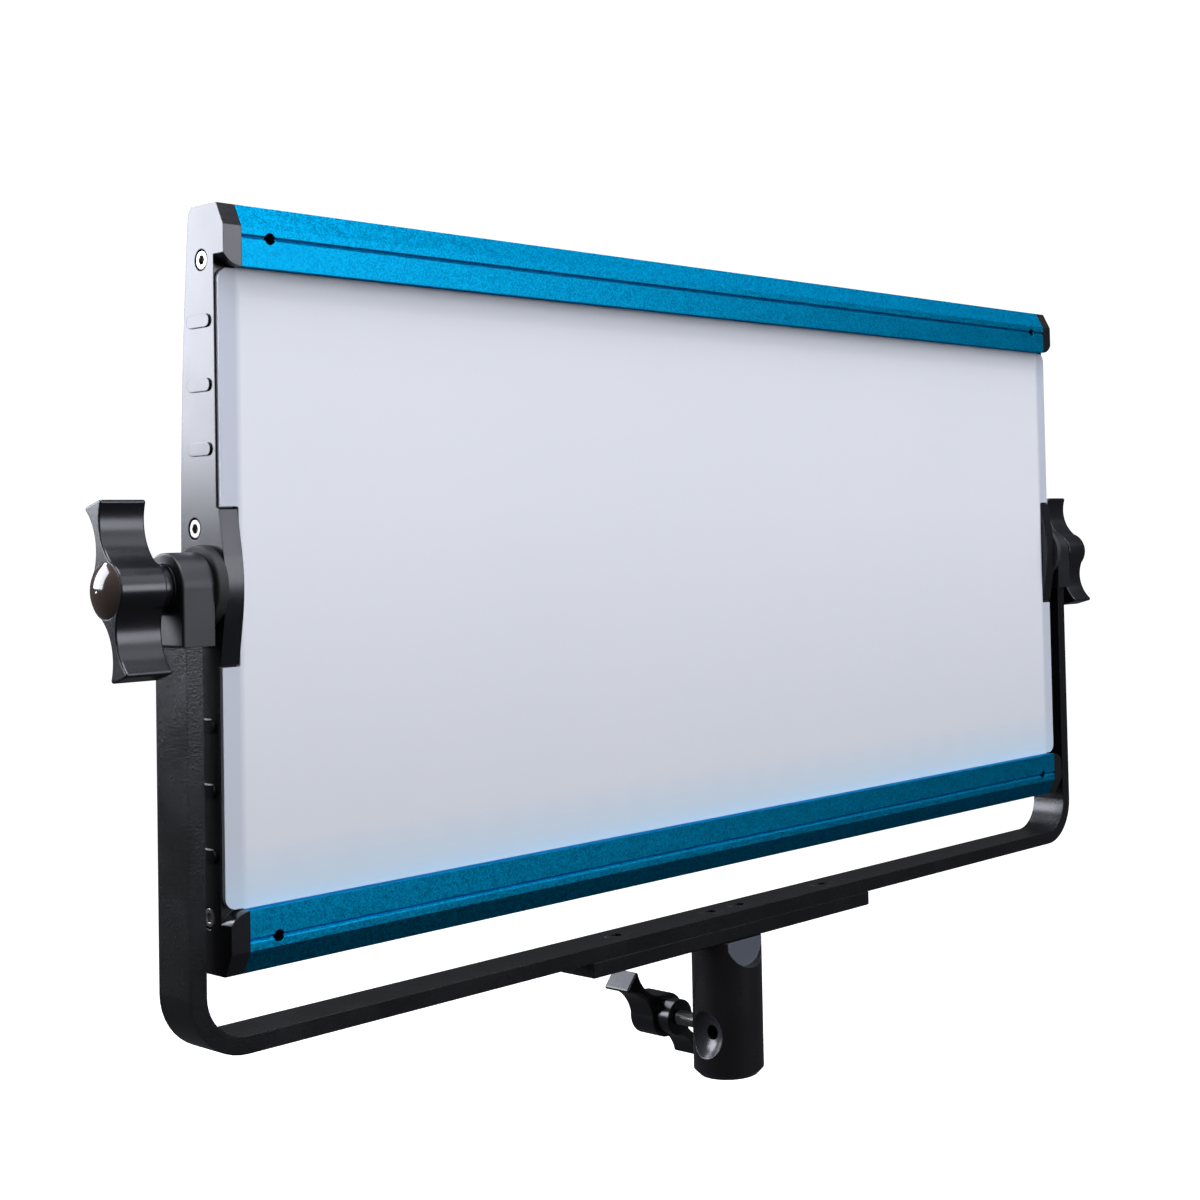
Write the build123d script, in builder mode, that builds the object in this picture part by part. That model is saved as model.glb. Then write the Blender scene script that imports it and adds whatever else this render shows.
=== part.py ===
"""LED panel light in a tilting yoke, with a stand receiver, in millimetres.

+Z is up, +X runs along the panel's width and the light leaves towards -Y.
The origin is the centre of the stand receiver's mouth.
"""
import os
from math import cos, radians, sin, sqrt

from build123d import *

# ---------------------------------------------------------------- driving dimensions
# Panel
PANEL_W = 500.0
PANEL_H = 250.0
PIVOT_Z = 214.0
FRONT_Y = -12.7
CAP_LIP = 7.0
TOP_BACK_Y = 7.3
MID_BACK_Y = 13.8
BACK_CORNER = 2.0

# Rails
RAIL_BAND = 20.7
RAIL_INNER_Y = -10.2
CHAMFER_DEPTH = 3.9
CHAMFER_RISE = 7.5
GROOVE_FROM_EDGE = 10.8
GROOVE_HALF = 0.8
LIP_BACK_Y = -8.7
LIP_T = 2.0
LEDGE_FRONT_Y = 4.3
LEDGE_BACK_Y = 6.2
LEDGE_LOW = 99.0
PORT_Z = 107.0
PORT_Y = 0.1
PORT_R = 3.4
ACCESSORY_X = 232.0
ACCESSORY_R = 2.0

# Diffuser, light box and LED board
DIFFUSER_T = 1.6
DIFFUSER_FRONT_Y = -8.5
DIFFUSER_HALF_X = 249.3
DIFFUSER_CORNER = 4.0
DIFFUSER_GAP = 0.3
DIFFUSER_TONGUE_X = 242.6
DIFFUSER_TONGUE_Z = 108.0
NOTCH_HALF = 26.1
NOTCH_REACH = 10.0
NOTCH_CORNER = 0.8
FRAME_HALF_X = 238.0
FRAME_HALF_Z = 103.2
FRAME_WALL = 1.5
BOARD_T = 1.6
BOARD_HALF_X = 236.0
BOARD_HALF_Z = 102.8
LED_SIZE = 5.0
LED_H = 1.2
LED_COLUMNS = 20
LED_ROWS = 10
LED_PITCH_X = 23.5
LED_PITCH_Z = 20.0

# Back panel
BACK_T = 1.5
BACK_HALF_Z = 118.0
VENT_LENGTH = 18.0
VENT_WIDTH = 3.0
VENT_PITCH = 7.0
VENT_COUNT = 5
VENT_COLUMNS = 10
VENT_COLUMN_PITCH = 30.0
VENT_Z = 84.0
BACK_DRILL_DEPTH = 8.0
FLANGE_DRILL_DEPTH = 4.0
BACK_SCREW_Z = 112.0
BACK_SCREW_X = (75.0, 220.0)
CABLE_Z = -20.3
CABLE_SLOT_W = 22.0
CABLE_SLOT_H = 5.0
RIBBON_W = 16.0
RIBBON_T = 0.8
COVER_SEAT_GAP = 0.05

# Side plates
PLATE_WALL = 3.0
POCKET_LOW = 33.0
POCKET_HIGH = 97.0
POCKET_FRONT_Y = -4.4
POCKET_BACK_Y = 7.0
RIB_Z = (45.0, 66.0, 87.0)
RIB_Y = 1.8
RIB_LENGTH = 13.0
RIB_WIDTH = 4.3
RIB_HEIGHT = 0.6
BOSS_HALF = 25.2
BOSS_FRONT_Y = -11.8
BOSS_BEND_Y = -10.96
BOSS_BEND_Z = 10.0
BOSS_END_Y = -8.4
BOSS_TOE = 25.7
INSERT_HALF = 24.0
CAP_NOTCH = 4.0
MID_SCREW_Y = 5.7
MID_SCREW_Z = 19.0
SCREW_R = 1.5
SCREW_FIT = 0.1
SCREW_HEAD_R = 3.0
SCREW_HEAD_H = 2.8
SCREW_POCKET_R = 3.65
SCREW_POCKET_DEPTH = 3.0
END_SCREW_LENGTH = 14.0
MID_SCREW_LENGTH = 8.4
HEX_SMALL = 3.0
LOW_HEAD_H = 1.8
HEX_COVER = 2.2
HEX_DEPTH_SHARE = 0.4

# Pivot
STUD_R = 3.95
RUNNING_FIT = 0.07
DISC_R = 13.8
DISC_X = 253.75
CLEAR_HOLE_R = 4.6
INSERT_T = 4.4
INSERT_GAP = 0.5
DISC_EDGE_R = 0.8
STUD_TIP_X = 239.5

# Yoke
BAR_T = 6.0
BAR_HALF_W = 9.0
ARM_OUTER_X = 262.8
BAR_BOTTOM_Z = 63.0
BAR_CORNER_R = 21.0
BLOCK_INNER_X = 253.9
BLOCK_OUTER_X = 265.4
BLOCK_EDGE_R = 0.8
BLOCK_HALF_W = 11.5
BLOCK_BOTTOM_Z = 195.4
BUSH_R = 5.2
ARM_FIT = 0.05
BAR_SCREW_X = (9.0, 65.0)
BAR_SCREW_HEAD_R = 6.0
BAR_SCREW_R = 3.0
BAR_SCREW_LENGTH = 15.0
BAR_SCREW_ANGLE = 90.0
HEX_LARGE = 4.4
HEX_LARGE_DEPTH = 2.6

# Adapter plate and stand receiver
ADAPTER_HALF_X = 87.0
ADAPTER_HALF_Y = 9.5
ADAPTER_T = 6.0
ADAPTER_EDGE = 0.5
RECEIVER_R = 14.9
BORE_R = 8.1
BORE_DEPTH = 48.0
MOUTH_CHAMFER = 2.6
PLATE_TAP_DEPTH = 8.0
BOWL_R = 11.5
BOWL_CENTRE_X = -20.9
SIGHT_HOLE_R = 3.0
LOCK_Z = 18.6
LOCK_SCREW_R = 3.15
SCOOP_R = 11.0
SCOOP_FLOOR_Y = -10.5

# Wing knobs
TILT_KNOB_FROM = 269.4
TILT_KNOB_DEPTH = 16.0
TILT_NECK = 3.2
TILT_LEAN = 15.0
HUB_R = 9.4
CAP_R = 8.9
CAP_SKIRT = 2.5
CAP_RISE = 3.2
NECK_R = 7.6
WING_TIP = 28.6
WING_TIP_HALF = 5.6
WING_WAIST = 15.8
WING_WAIST_HALF = 1.9
WING_ROOT_X = 6.6
WING_ROOT_Y = 6.2
WING_TIP_EDGE = 0.9
WING_ROOT_FILLET = 2.5
GRIP_EDGE = 0.6
LOCK_KNOB_FROM = 35.0
LOCK_KNOB_DEPTH = 14.0
LOCK_NECK = 7.0
LOCK_LEAN = 50.0
LOCK_TIP_Y = 8.6
WASHER_R = 8.4
WASHER_X = 265.5

# Rear control pod
POD_HALF_X = 100.0
POD_HALF_Z = 62.0
POD_BACK_Y = 42.0
POD_WALL = 2.2
POD_CORNER = 8.0
POD_EDGE_R = 3.0
FLANGE_HALF_X = 113.0
FLANGE_HALF_Z = 50.0
FLANGE_BACK_Y = 16.2
FLANGE_SCREW_X = 106.5
FLANGE_SCREW_Z = 40.0
FLANGE_CORNER = 6.0
FLANGE_HOLE_DEPTH = 6.0
DRIVER_Y = 23.0
DRIVER_LEFT_X = -78.0
DRIVER_RIGHT_X = 92.0
DRIVER_HALF_Z = 56.0
BOARD_POST_R = 3.0
BOARD_SCREW_R = 1.2
BOARD_HEAD_R = 2.4
BOARD_HEAD_H = 1.6
BOARD_SCREW_LENGTH = 8.0
HEX_BOARD = 1.6
COMPONENT_H = 12.0
CAPACITOR_R = 5.5
CAPACITOR_SPOTS = [(-24.0, 30.0), (-38.0, 30.0)]
TRANSFORMER_SPOT = (-60.0, 20.0)
TRANSFORMER_W = 22.0
TRANSFORMER_H = 20.0
CHIP_SPOT = (-40.0, -12.0)
CHIP_SIZE = 14.0
TACT_SIZE = 6.0
HEATSINK_X = 48.0
HEATSINK_W = 64.0
HEATSINK_H = 60.0
HEATSINK_BASE = 2.0
FIN_T = 1.6
FIN_DEPTH = 7.5
FIN_PITCH = 8.0
FINS_EACH_SIDE = 3

# Battery plate
BATTERY_X = 50.0
BATTERY_HALF_X = 42.0
BATTERY_HALF_Z = 54.0
BATTERY_T = 10.0
BATTERY_CORNER = 4.0
BATTERY_EDGE = 0.8
BATTERY_SCREW_X = 36.0
BATTERY_SCREW_Z = 47.0
BATTERY_SCREW_LENGTH = 9.0
BATTERY_HEAD_DROP = 0.2
CONTACT_X = (-12.0, -4.0, 4.0, 12.0)
CONTACT_Z = -20.0
CONTACT_W = 1.4
CONTACT_H = 9.0
CONTACT_RISE = 3.5
WEDGE_DEPTH = 6.0
WEDGE_TAPER = -15.0
WEDGE_OVERRUN = 10.0
WEDGE_TOP_HALF = 26.0
WEDGE_LOW_HALF = 20.0
WEDGE_LOW_Z = -30.0
RELEASE_Z = -40.0
RELEASE_R = 3.5
RELEASE_FIT = 0.3
RELEASE_HOLE_DEPTH = 16.0
RELEASE_PROUD = 3.5
RELEASE_LENGTH = 15.5
RELEASE_EDGE_R = 0.8

# Controls
DIAL_X = {"dimmer": -70.0, "colour": -26.0}
DIAL_R = 11.0
DIAL_H = 14.0
DIAL_BUSH_R = 4.4
DIAL_SHAFT_R = 3.0
DIAL_SHAFT_IN = 6.0
DIAL_GAP = 1.0
DIAL_ROOF = 2.0
DIAL_EDGE_R = 1.2
DIAL_SKIRT_R = 6.0
DIAL_SKIRT_DEPTH = 3.0
POINTER_W = 1.2
POINTER_LENGTH = 5.0
POINTER_DEPTH = 0.8
POINTER_INSET = 3.0
ENCODER_SIZE = 14.0
ENCODER_DEPTH = 9.0
ENCODER_BUSH_PROUD = 2.5
ENCODER_BORE_DEPTH = 11.0
DISPLAY_X = -48.0
DISPLAY_Z = 36.0
DISPLAY_HALF_X = 27.0
DISPLAY_HALF_Z = 12.0
WINDOW_T = 1.4
WINDOW_SHELF_X = 3.0
WINDOW_SHELF_Z = 2.0
DISPLAY_MARGIN_X = 2.0
DISPLAY_MARGIN_Z = 1.0
DISPLAY_T = 3.6
ROCKER_X = -76.0
ROCKER_Z = -38.0
ROCKER_PIVOT_Y = 40.5
ROCKER_HALF_X = 5.8
ROCKER_HALF_Z = 8.3
ROCKER_TILT = 8.0
ROCKER_BACK = -3.5
ROCKER_END = 3.2
ROCKER_DIP = 1.9
ROCKER_PIN_R = 1.0
SWITCH_BODY_X = 13.8
SWITCH_BODY_Z = 19.2
SWITCH_BODY_DEPTH = 14.0
SWITCH_RIM_X = 16.0
SWITCH_RIM_Z = 22.0
SWITCH_RIM_T = 1.6
SWITCH_WELL_X = 12.0
SWITCH_WELL_Z = 18.0
SWITCH_WELL_DEPTH = 9.0
BUTTON_X = -48.0
BUTTON_Z = -20.0
BUTTON_R = 4.0
BUTTON_FIT = 0.3
BUTTON_PROUD = 1.8
BUTTON_EDGE_R = 0.5
BUTTON_RETAINER = 1.2
BUTTON_PLAY = 0.1
INLET_X = -30.0
INLET_Z = -42.0
INLET_R = 11.0
INLET_BORE_R = 9.0
INLET_FLANGE = 26.0
INLET_FLANGE_T = 2.0
INLET_CORNER = 3.0
INLET_DEPTH = 16.0
INLET_BORE_DEPTH = 14.0
INLET_SCREW_OFFSET = 10.0
INLET_SCREW_LENGTH = 6.0
HEX_INLET = 1.8
PIN_OFFSET = 3.6
PIN_R = 0.9
PIN_LENGTH = 9.0
PIN_INSET = 3.0
PIN_TIP_R = 0.4
DATA_Z = (-14.0, 14.0)
DATA_Y = 31.0
DATA_W = 13.4
DATA_H = 16.0
DATA_PROUD = 0.6
DATA_DEPTH = 19.0
DATA_BORE_W = 9.0
DATA_BORE_H = 12.0
DATA_BORE_DEPTH = 13.0

# ---------------------------------------------------------------- derived values
HALF_W = PANEL_W / 2
HALF_H = PANEL_H / 2
RAIL_HALF = HALF_W - CAP_LIP
RAIL_EDGE = HALF_H - RAIL_BAND
GROOVE_Z = HALF_H - GROOVE_FROM_EDGE
DIFFUSER_BACK_Y = DIFFUSER_FRONT_Y + DIFFUSER_T
BOARD_BACK_Y = LEDGE_FRONT_Y
BOARD_FRONT_Y = BOARD_BACK_Y - BOARD_T
ARM_INNER_X = ARM_OUTER_X - BAR_T
BAR_TOP_Z = BAR_BOTTOM_Z + BAR_T
ARM_TOP_Z = PIVOT_Z + BAR_HALF_W
RECEIVER_H = BAR_BOTTOM_Z - ADAPTER_T
CHORD_HALF = HALF_H - BACK_CORNER
SAGITTA = MID_BACK_Y - TOP_BACK_Y
BACK_RADIUS = (CHORD_HALF**2 + SAGITTA**2) / (2 * SAGITTA)
INSERT_INNER_X = RAIL_HALF - INSERT_T
POD_INNER_Y = POD_BACK_Y - POD_WALL
BATTERY_BACK_Y = POD_BACK_Y + BATTERY_T
BAR_SCREW_SPOTS = [(side * x, 0) for x in BAR_SCREW_X for side in (-1, 1)]
BACK_SCREW_SPOTS = [(sx * x, sz * BACK_SCREW_Z) for x in BACK_SCREW_X for sx in (-1, 1) for sz in (-1, 1)]
FLANGE_SCREW_SPOTS = [(sx * FLANGE_SCREW_X, sz * FLANGE_SCREW_Z) for sx in (-1, 1) for sz in (-1, 1)]
BOARD_POST_SPOTS = [(70.0, 52.5), (70.0, -52.5), (-86.0, 50.0), (-86.0, -50.0)]
SIDES = {"left": -1, "right": 1}

os.makedirs("parts", exist_ok=True)


def back_y(z):
    """Outer back surface of the panel at a height above or below the pivot."""
    return MID_BACK_Y - BACK_RADIUS + sqrt(BACK_RADIUS**2 - z**2)


def side_plane(x, z=PIVOT_Z):
    """Plane at an x station, with its local x along +Y and its local y up."""
    return Plane(origin=(x, 0, z), x_dir=(0, 1, 0), z_dir=(1, 0, 0))


def rear_plane(y, x=0.0, z=PIVOT_Z):
    """Plane at a y station facing the back, with its local x along -X and its local y up."""
    return Plane(origin=(x, y, z), x_dir=(-1, 0, 0), z_dir=(0, 1, 0))


def front_plane(y, x=0.0, z=PIVOT_Z):
    """Plane at a y station facing the front, with its local x along +X and its local y up."""
    return Plane(origin=(x, y, z), x_dir=(1, 0, 0), z_dir=(0, -1, 0))


def save(part, name):
    """Label a finished piece and write it."""
    part.label = name
    export_step(part, f"parts/{name}.step")


def cut_round(plane, spots, radius, depth):
    """Cut round holes into the current part, from a plane against its normal."""
    with BuildSketch(plane) as holes:
        with Locations(*spots):
            Circle(radius)
    extrude(holes.sketch, amount=-depth, mode=Mode.SUBTRACT)


def add_round(plane, spots, radius, depth):
    """Add round posts to the current part, from a plane against its normal."""
    with BuildSketch(plane) as posts:
        with Locations(*spots):
            Circle(radius)
    extrude(posts.sketch, amount=-depth)


def add_block(plane, spots, width, height, depth, mode=Mode.ADD):
    """Add or cut rectangular blocks in the current part, from a plane against its normal."""
    with BuildSketch(plane) as blocks:
        with Locations(*spots):
            Rectangle(width, height)
    extrude(blocks.sketch, amount=-depth, mode=mode)


def add_screws(plane, spots, head_r, head_h, shank_r, shank, hex_af):
    """Add socket-head screws whose head tops lie on a plane, pointing against its normal."""
    add_round(plane, spots, head_r, head_h)
    add_round(plane, spots, shank_r, head_h + shank)
    with BuildSketch(plane) as sockets:
        with Locations(*spots):
            RegularPolygon(hex_af / 2, 6, major_radius=False)
    extrude(sockets.sketch, amount=-HEX_DEPTH_SHARE * head_h, mode=Mode.SUBTRACT)


# ---------------------------------------------------------------- stand receiver
with BuildPart() as receiver:
    with BuildSketch(Plane.XY):
        Circle(RECEIVER_R)
    extrude(amount=RECEIVER_H)
    chamfer(receiver.edges().filter_by(GeomType.CIRCLE).sort_by(Axis.Z)[0], MOUTH_CHAMFER)
    # blind bore for the stand's spigot, open at the bottom
    with BuildSketch(Plane.XY):
        Circle(BORE_R)
    extrude(amount=BORE_DEPTH, mode=Mode.SUBTRACT)
    # bowl turned in the side, with a small sight hole through to the bore
    with Locations((BOWL_CENTRE_X, 0, LOCK_Z)):
        Sphere(BOWL_R, mode=Mode.SUBTRACT)
    with BuildSketch(side_plane(-RECEIVER_R, LOCK_Z)):
        Circle(SIGHT_HOLE_R)
    extrude(amount=RECEIVER_R - BORE_R / 2, mode=Mode.SUBTRACT)
    # threaded hole for the lock screw, from the back
    with BuildSketch(front_plane(RECEIVER_R + 1, z=LOCK_Z)):
        Circle(LOCK_SCREW_R + RUNNING_FIT)
    extrude(amount=RECEIVER_R - BORE_R / 2, mode=Mode.SUBTRACT)
    # half-round scoop milled in the front, under the adapter plate
    with BuildSketch(front_plane(SCOOP_FLOOR_Y, z=RECEIVER_H)):
        Circle(SCOOP_R)
    extrude(amount=RECEIVER_R, mode=Mode.SUBTRACT)
    # two tapped holes in the top for the plate's inner screws
    with BuildSketch(Plane.XY.offset(RECEIVER_H)):
        with Locations(*BAR_SCREW_SPOTS[:2]):
            Circle(BAR_SCREW_R)
    extrude(amount=-PLATE_TAP_DEPTH, mode=Mode.SUBTRACT)
save(receiver.part, "spigot_receiver")

# ---------------------------------------------------------------- adapter plate
with BuildPart() as adapter:
    with BuildSketch(Plane.XY.offset(RECEIVER_H)):
        Rectangle(2 * ADAPTER_HALF_X, 2 * ADAPTER_HALF_Y)
    extrude(amount=ADAPTER_T)
    chamfer(adapter.edges().group_by(Axis.Z)[0], ADAPTER_EDGE)
    with BuildSketch(Plane.XY.offset(RECEIVER_H)):
        with Locations(*BAR_SCREW_SPOTS):
            Circle(BAR_SCREW_R)
    extrude(amount=ADAPTER_T, mode=Mode.SUBTRACT)
save(adapter.part, "adapter_plate")

# ---------------------------------------------------------------- yoke bar
with BuildPart() as yoke:
    with BuildSketch(Plane.XZ) as yoke_profile:
        with BuildLine():
            Polyline(
                (-ARM_OUTER_X, ARM_TOP_Z),
                (-ARM_OUTER_X, BAR_BOTTOM_Z),
                (ARM_OUTER_X, BAR_BOTTOM_Z),
                (ARM_OUTER_X, ARM_TOP_Z),
                (ARM_INNER_X, ARM_TOP_Z),
                (ARM_INNER_X, BAR_TOP_Z),
                (-ARM_INNER_X, BAR_TOP_Z),
                (-ARM_INNER_X, ARM_TOP_Z),
                close=True,
            )
        make_face()
        fillet(yoke_profile.vertices().group_by(Axis.Y)[0], BAR_CORNER_R)
        inner_corners = yoke_profile.vertices().filter_by(
            lambda v: abs(v.Y - BAR_TOP_Z) < 0.01 and abs(abs(v.X) - ARM_INNER_X) < 0.01
        )
        fillet(inner_corners, BAR_CORNER_R - BAR_T)
    extrude(amount=BAR_HALF_W, both=True)
    # arm ends are rounded about the tilt axis
    fillet(yoke.edges().filter_by(Axis.X).group_by(Axis.Z)[-1], BAR_HALF_W - 0.01)
    with BuildSketch(side_plane(-ARM_OUTER_X - 1)):
        Circle(BUSH_R)
    extrude(amount=2 * ARM_OUTER_X + 2, mode=Mode.SUBTRACT)
    # countersunk holes for the four plate screws
    with Locations(*[(x, y, BAR_TOP_Z) for x, y in BAR_SCREW_SPOTS]):
        CounterSinkHole(BAR_SCREW_R, BAR_SCREW_HEAD_R, depth=BAR_T, counter_sink_angle=BAR_SCREW_ANGLE)
save(yoke.part, "yoke_bar")

# ---------------------------------------------------------------- countersunk yoke screws
with BuildPart() as bar_screws:
    bar_top = Plane.XY.offset(BAR_TOP_Z)
    cone_low = bar_top.offset(BAR_SCREW_R - BAR_SCREW_HEAD_R)
    for spot in BAR_SCREW_SPOTS:
        with BuildSketch(bar_top):
            with Locations(spot):
                Circle(BAR_SCREW_HEAD_R)
        with BuildSketch(cone_low):
            with Locations(spot):
                Circle(BAR_SCREW_R)
        loft()
    add_round(cone_low, BAR_SCREW_SPOTS[:2], BAR_SCREW_R, BAR_SCREW_LENGTH)
    add_round(cone_low, BAR_SCREW_SPOTS[2:], BAR_SCREW_R, BAR_SCREW_LENGTH - BAR_T)
    with BuildSketch(bar_top):
        with Locations(*BAR_SCREW_SPOTS):
            RegularPolygon(HEX_LARGE / 2, 6, major_radius=False)
    extrude(amount=-HEX_LARGE_DEPTH, mode=Mode.SUBTRACT)
save(bar_screws.part, "yoke_screws")

# ---------------------------------------------------------------- arm-end blocks and bushes
for name, side in SIDES.items():
    with BuildPart() as block:
        with BuildSketch(side_plane(side * BLOCK_INNER_X)):
            Circle(BLOCK_HALF_W)
            with Locations((0, (BLOCK_BOTTOM_Z - PIVOT_Z) / 2)):
                Rectangle(2 * BLOCK_HALF_W, PIVOT_Z - BLOCK_BOTTOM_Z)
        extrude(amount=side * (BLOCK_OUTER_X - BLOCK_INNER_X))
        fillet(block.faces().sort_by(Axis.X)[0 if side < 0 else -1].edges(), BLOCK_EDGE_R)
        # slot that takes the rounded end of the arm
        with BuildSketch(side_plane(side * ARM_INNER_X)):
            Circle(BAR_HALF_W + ARM_FIT)
            with Locations((0, -BLOCK_HALF_W)):
                Rectangle(2 * (BAR_HALF_W + ARM_FIT), 2 * BLOCK_HALF_W)
        extrude(amount=side * BAR_T, mode=Mode.SUBTRACT)
        with BuildSketch(side_plane(side * BLOCK_INNER_X)):
            Circle(BUSH_R)
        extrude(amount=side * (BLOCK_OUTER_X - BLOCK_INNER_X), mode=Mode.SUBTRACT)
    save(block.part, f"{name}_arm_block")

    with BuildPart() as bush:
        with BuildSketch(side_plane(side * BLOCK_INNER_X)):
            Circle(BUSH_R)
            Circle(STUD_R + RUNNING_FIT, mode=Mode.SUBTRACT)
        extrude(amount=side * (BLOCK_OUTER_X - BLOCK_INNER_X))
    save(bush.part, f"{name}_stud_bush")


# ---------------------------------------------------------------- wing knobs
def wing_outline():
    """Draw a two-wing grip in the current sketch, its wings along the local y axis."""
    for end in (1, -1):
        with BuildLine() as wing:
            right = ThreePointArc(
                (WING_TIP_HALF, end * WING_TIP),
                (WING_WAIST_HALF, end * WING_WAIST),
                (WING_ROOT_X, end * WING_ROOT_Y),
            )
            left = ThreePointArc(
                (-WING_ROOT_X, end * WING_ROOT_Y),
                (-WING_WAIST_HALF, end * WING_WAIST),
                (-WING_TIP_HALF, end * WING_TIP),
            )
            Line(right @ 1, left @ 0)
            Line(left @ 1, right @ 0)
        make_face(wing.edges())
    Circle(HUB_R)


def make_knob(prefix, plane, neck, depth):
    """Write the grip and the dome cap of a wing knob whose grip starts at the plane."""
    with BuildPart() as grip:
        with BuildSketch(plane) as outline:
            wing_outline()
            fillet(outline.vertices().filter_by(lambda v: abs(v.Y) > WING_WAIST), WING_TIP_EDGE)
            fillet(outline.vertices().filter_by(lambda v: abs(v.Y) < WING_WAIST), WING_ROOT_FILLET)
        extrude(amount=depth)
        end_faces = grip.faces().filter_by(lambda f: abs(f.normal_at().dot(plane.z_dir)) > 0.99)
        fillet(end_faces.edges(), GRIP_EDGE)
        with BuildSketch(plane.offset(-neck)):
            Circle(NECK_R)
        extrude(amount=neck)
        with BuildSketch(plane.offset(depth - CAP_SKIRT)):
            Circle(CAP_R)
        extrude(amount=CAP_SKIRT, mode=Mode.SUBTRACT)
        with BuildSketch(plane.offset(-neck)):
            Circle(STUD_R if prefix != "lock" else LOCK_SCREW_R)
        extrude(amount=neck + depth - CAP_SKIRT, mode=Mode.SUBTRACT)
    save(grip.part, f"{prefix}_grip")

    with BuildPart() as cap:
        section = Plane(origin=plane.origin, x_dir=plane.x_dir, z_dir=plane.x_dir.cross(plane.z_dir))
        with BuildSketch(section):
            with BuildLine():
                Line((0, depth - CAP_SKIRT), (CAP_R, depth - CAP_SKIRT))
                Line((CAP_R, depth - CAP_SKIRT), (CAP_R, depth))
                RadiusArc((CAP_R, depth), (0, depth + CAP_RISE), -(CAP_R**2 + CAP_RISE**2) / (2 * CAP_RISE))
                Line((0, depth + CAP_RISE), (0, depth - CAP_SKIRT))
            make_face()
        revolve(axis=Axis(plane.origin, plane.z_dir))
    save(cap.part, f"{prefix}_cap")


for name, side in SIDES.items():
    lean = radians(TILT_LEAN)
    tilt_plane = Plane(
        origin=(side * TILT_KNOB_FROM, 0, PIVOT_Z),
        x_dir=(0, side * cos(lean), -side * sin(lean)),
        z_dir=(side, 0, 0),
    )
    make_knob(f"{name}_tilt", tilt_plane, TILT_NECK, TILT_KNOB_DEPTH)

    with BuildPart() as stud:
        with BuildSketch(side_plane(side * STUD_TIP_X)):
            Circle(STUD_R)
        extrude(amount=side * (TILT_KNOB_FROM + TILT_KNOB_DEPTH - CAP_SKIRT - STUD_TIP_X))
    save(stud.part, f"{name}_tilt_stud")

    with BuildPart() as washer:
        with BuildSketch(side_plane(side * WASHER_X)):
            Circle(WASHER_R)
            Circle(STUD_R, mode=Mode.SUBTRACT)
        extrude(amount=side * (TILT_KNOB_FROM - TILT_NECK - WASHER_X))
    save(washer.part, f"{name}_tilt_washer")

lean = radians(LOCK_LEAN)
lock_plane = Plane(origin=(0, LOCK_KNOB_FROM, LOCK_Z), x_dir=(-cos(lean), 0, -sin(lean)), z_dir=(0, 1, 0))
make_knob("lock", lock_plane, LOCK_NECK, LOCK_KNOB_DEPTH)

with BuildPart() as lock_screw:
    with BuildSketch(front_plane(LOCK_TIP_Y, z=LOCK_Z)):
        Circle(LOCK_SCREW_R)
    extrude(amount=LOCK_TIP_Y - (LOCK_KNOB_FROM + LOCK_KNOB_DEPTH - CAP_SKIRT))
save(lock_screw.part, "lock_screw")


# ---------------------------------------------------------------- rails
for name, end in {"top": 1, "bottom": -1}.items():
    with BuildPart() as rail:
        with BuildSketch(side_plane(-RAIL_HALF)):
            with BuildLine():
                Polyline(
                    (FRONT_Y, end * RAIL_EDGE),
                    (FRONT_Y, end * (GROOVE_Z - GROOVE_HALF)),
                    (FRONT_Y + GROOVE_HALF, end * GROOVE_Z),
                    (FRONT_Y, end * (GROOVE_Z + GROOVE_HALF)),
                    (FRONT_Y, end * (HALF_H - CHAMFER_RISE)),
                    (FRONT_Y + CHAMFER_DEPTH, end * HALF_H),
                    (TOP_BACK_Y - BACK_CORNER, end * HALF_H),
                    (TOP_BACK_Y, end * CHORD_HALF),
                    (back_y(BACK_HALF_Z), end * BACK_HALF_Z),
                    (LEDGE_BACK_Y, end * BACK_HALF_Z),
                    (LEDGE_BACK_Y, end * LEDGE_LOW),
                    (LEDGE_FRONT_Y, end * LEDGE_LOW),
                    (LEDGE_FRONT_Y, end * (HALF_H - LIP_T)),
                    (FRONT_Y + CHAMFER_DEPTH + LIP_T / 2, end * (HALF_H - LIP_T)),
                    (RAIL_INNER_Y, end * (HALF_H - CHAMFER_RISE)),
                    (RAIL_INNER_Y, end * (RAIL_EDGE + LIP_T)),
                    (LIP_BACK_Y, end * (RAIL_EDGE + LIP_T)),
                    (LIP_BACK_Y, end * RAIL_EDGE),
                    close=True,
                )
            make_face()
            # screw port on a web from the ledge
            with Locations((PORT_Y, end * PORT_Z)):
                Circle(PORT_R)
            with Locations(((PORT_Y + LEDGE_FRONT_Y) / 2, end * PORT_Z)):
                Rectangle(LEDGE_FRONT_Y - PORT_Y, LIP_T)
            with Locations((PORT_Y, end * PORT_Z)):
                Circle(SCREW_R, mode=Mode.SUBTRACT)
        extrude(amount=2 * RAIL_HALF)
        accessory_spots = [(-ACCESSORY_X, end * GROOVE_Z), (ACCESSORY_X, end * GROOVE_Z)]
        cut_round(front_plane(FRONT_Y - 1), accessory_spots, ACCESSORY_R, CHAMFER_DEPTH + 1)
        back_spots = [(x, z) for x, z in BACK_SCREW_SPOTS if z * end > 0]
        cut_round(front_plane(LEDGE_FRONT_Y), back_spots, SCREW_R, LEDGE_BACK_Y - LEDGE_FRONT_Y)
    save(rail.part, f"{name}_rail")

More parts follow.
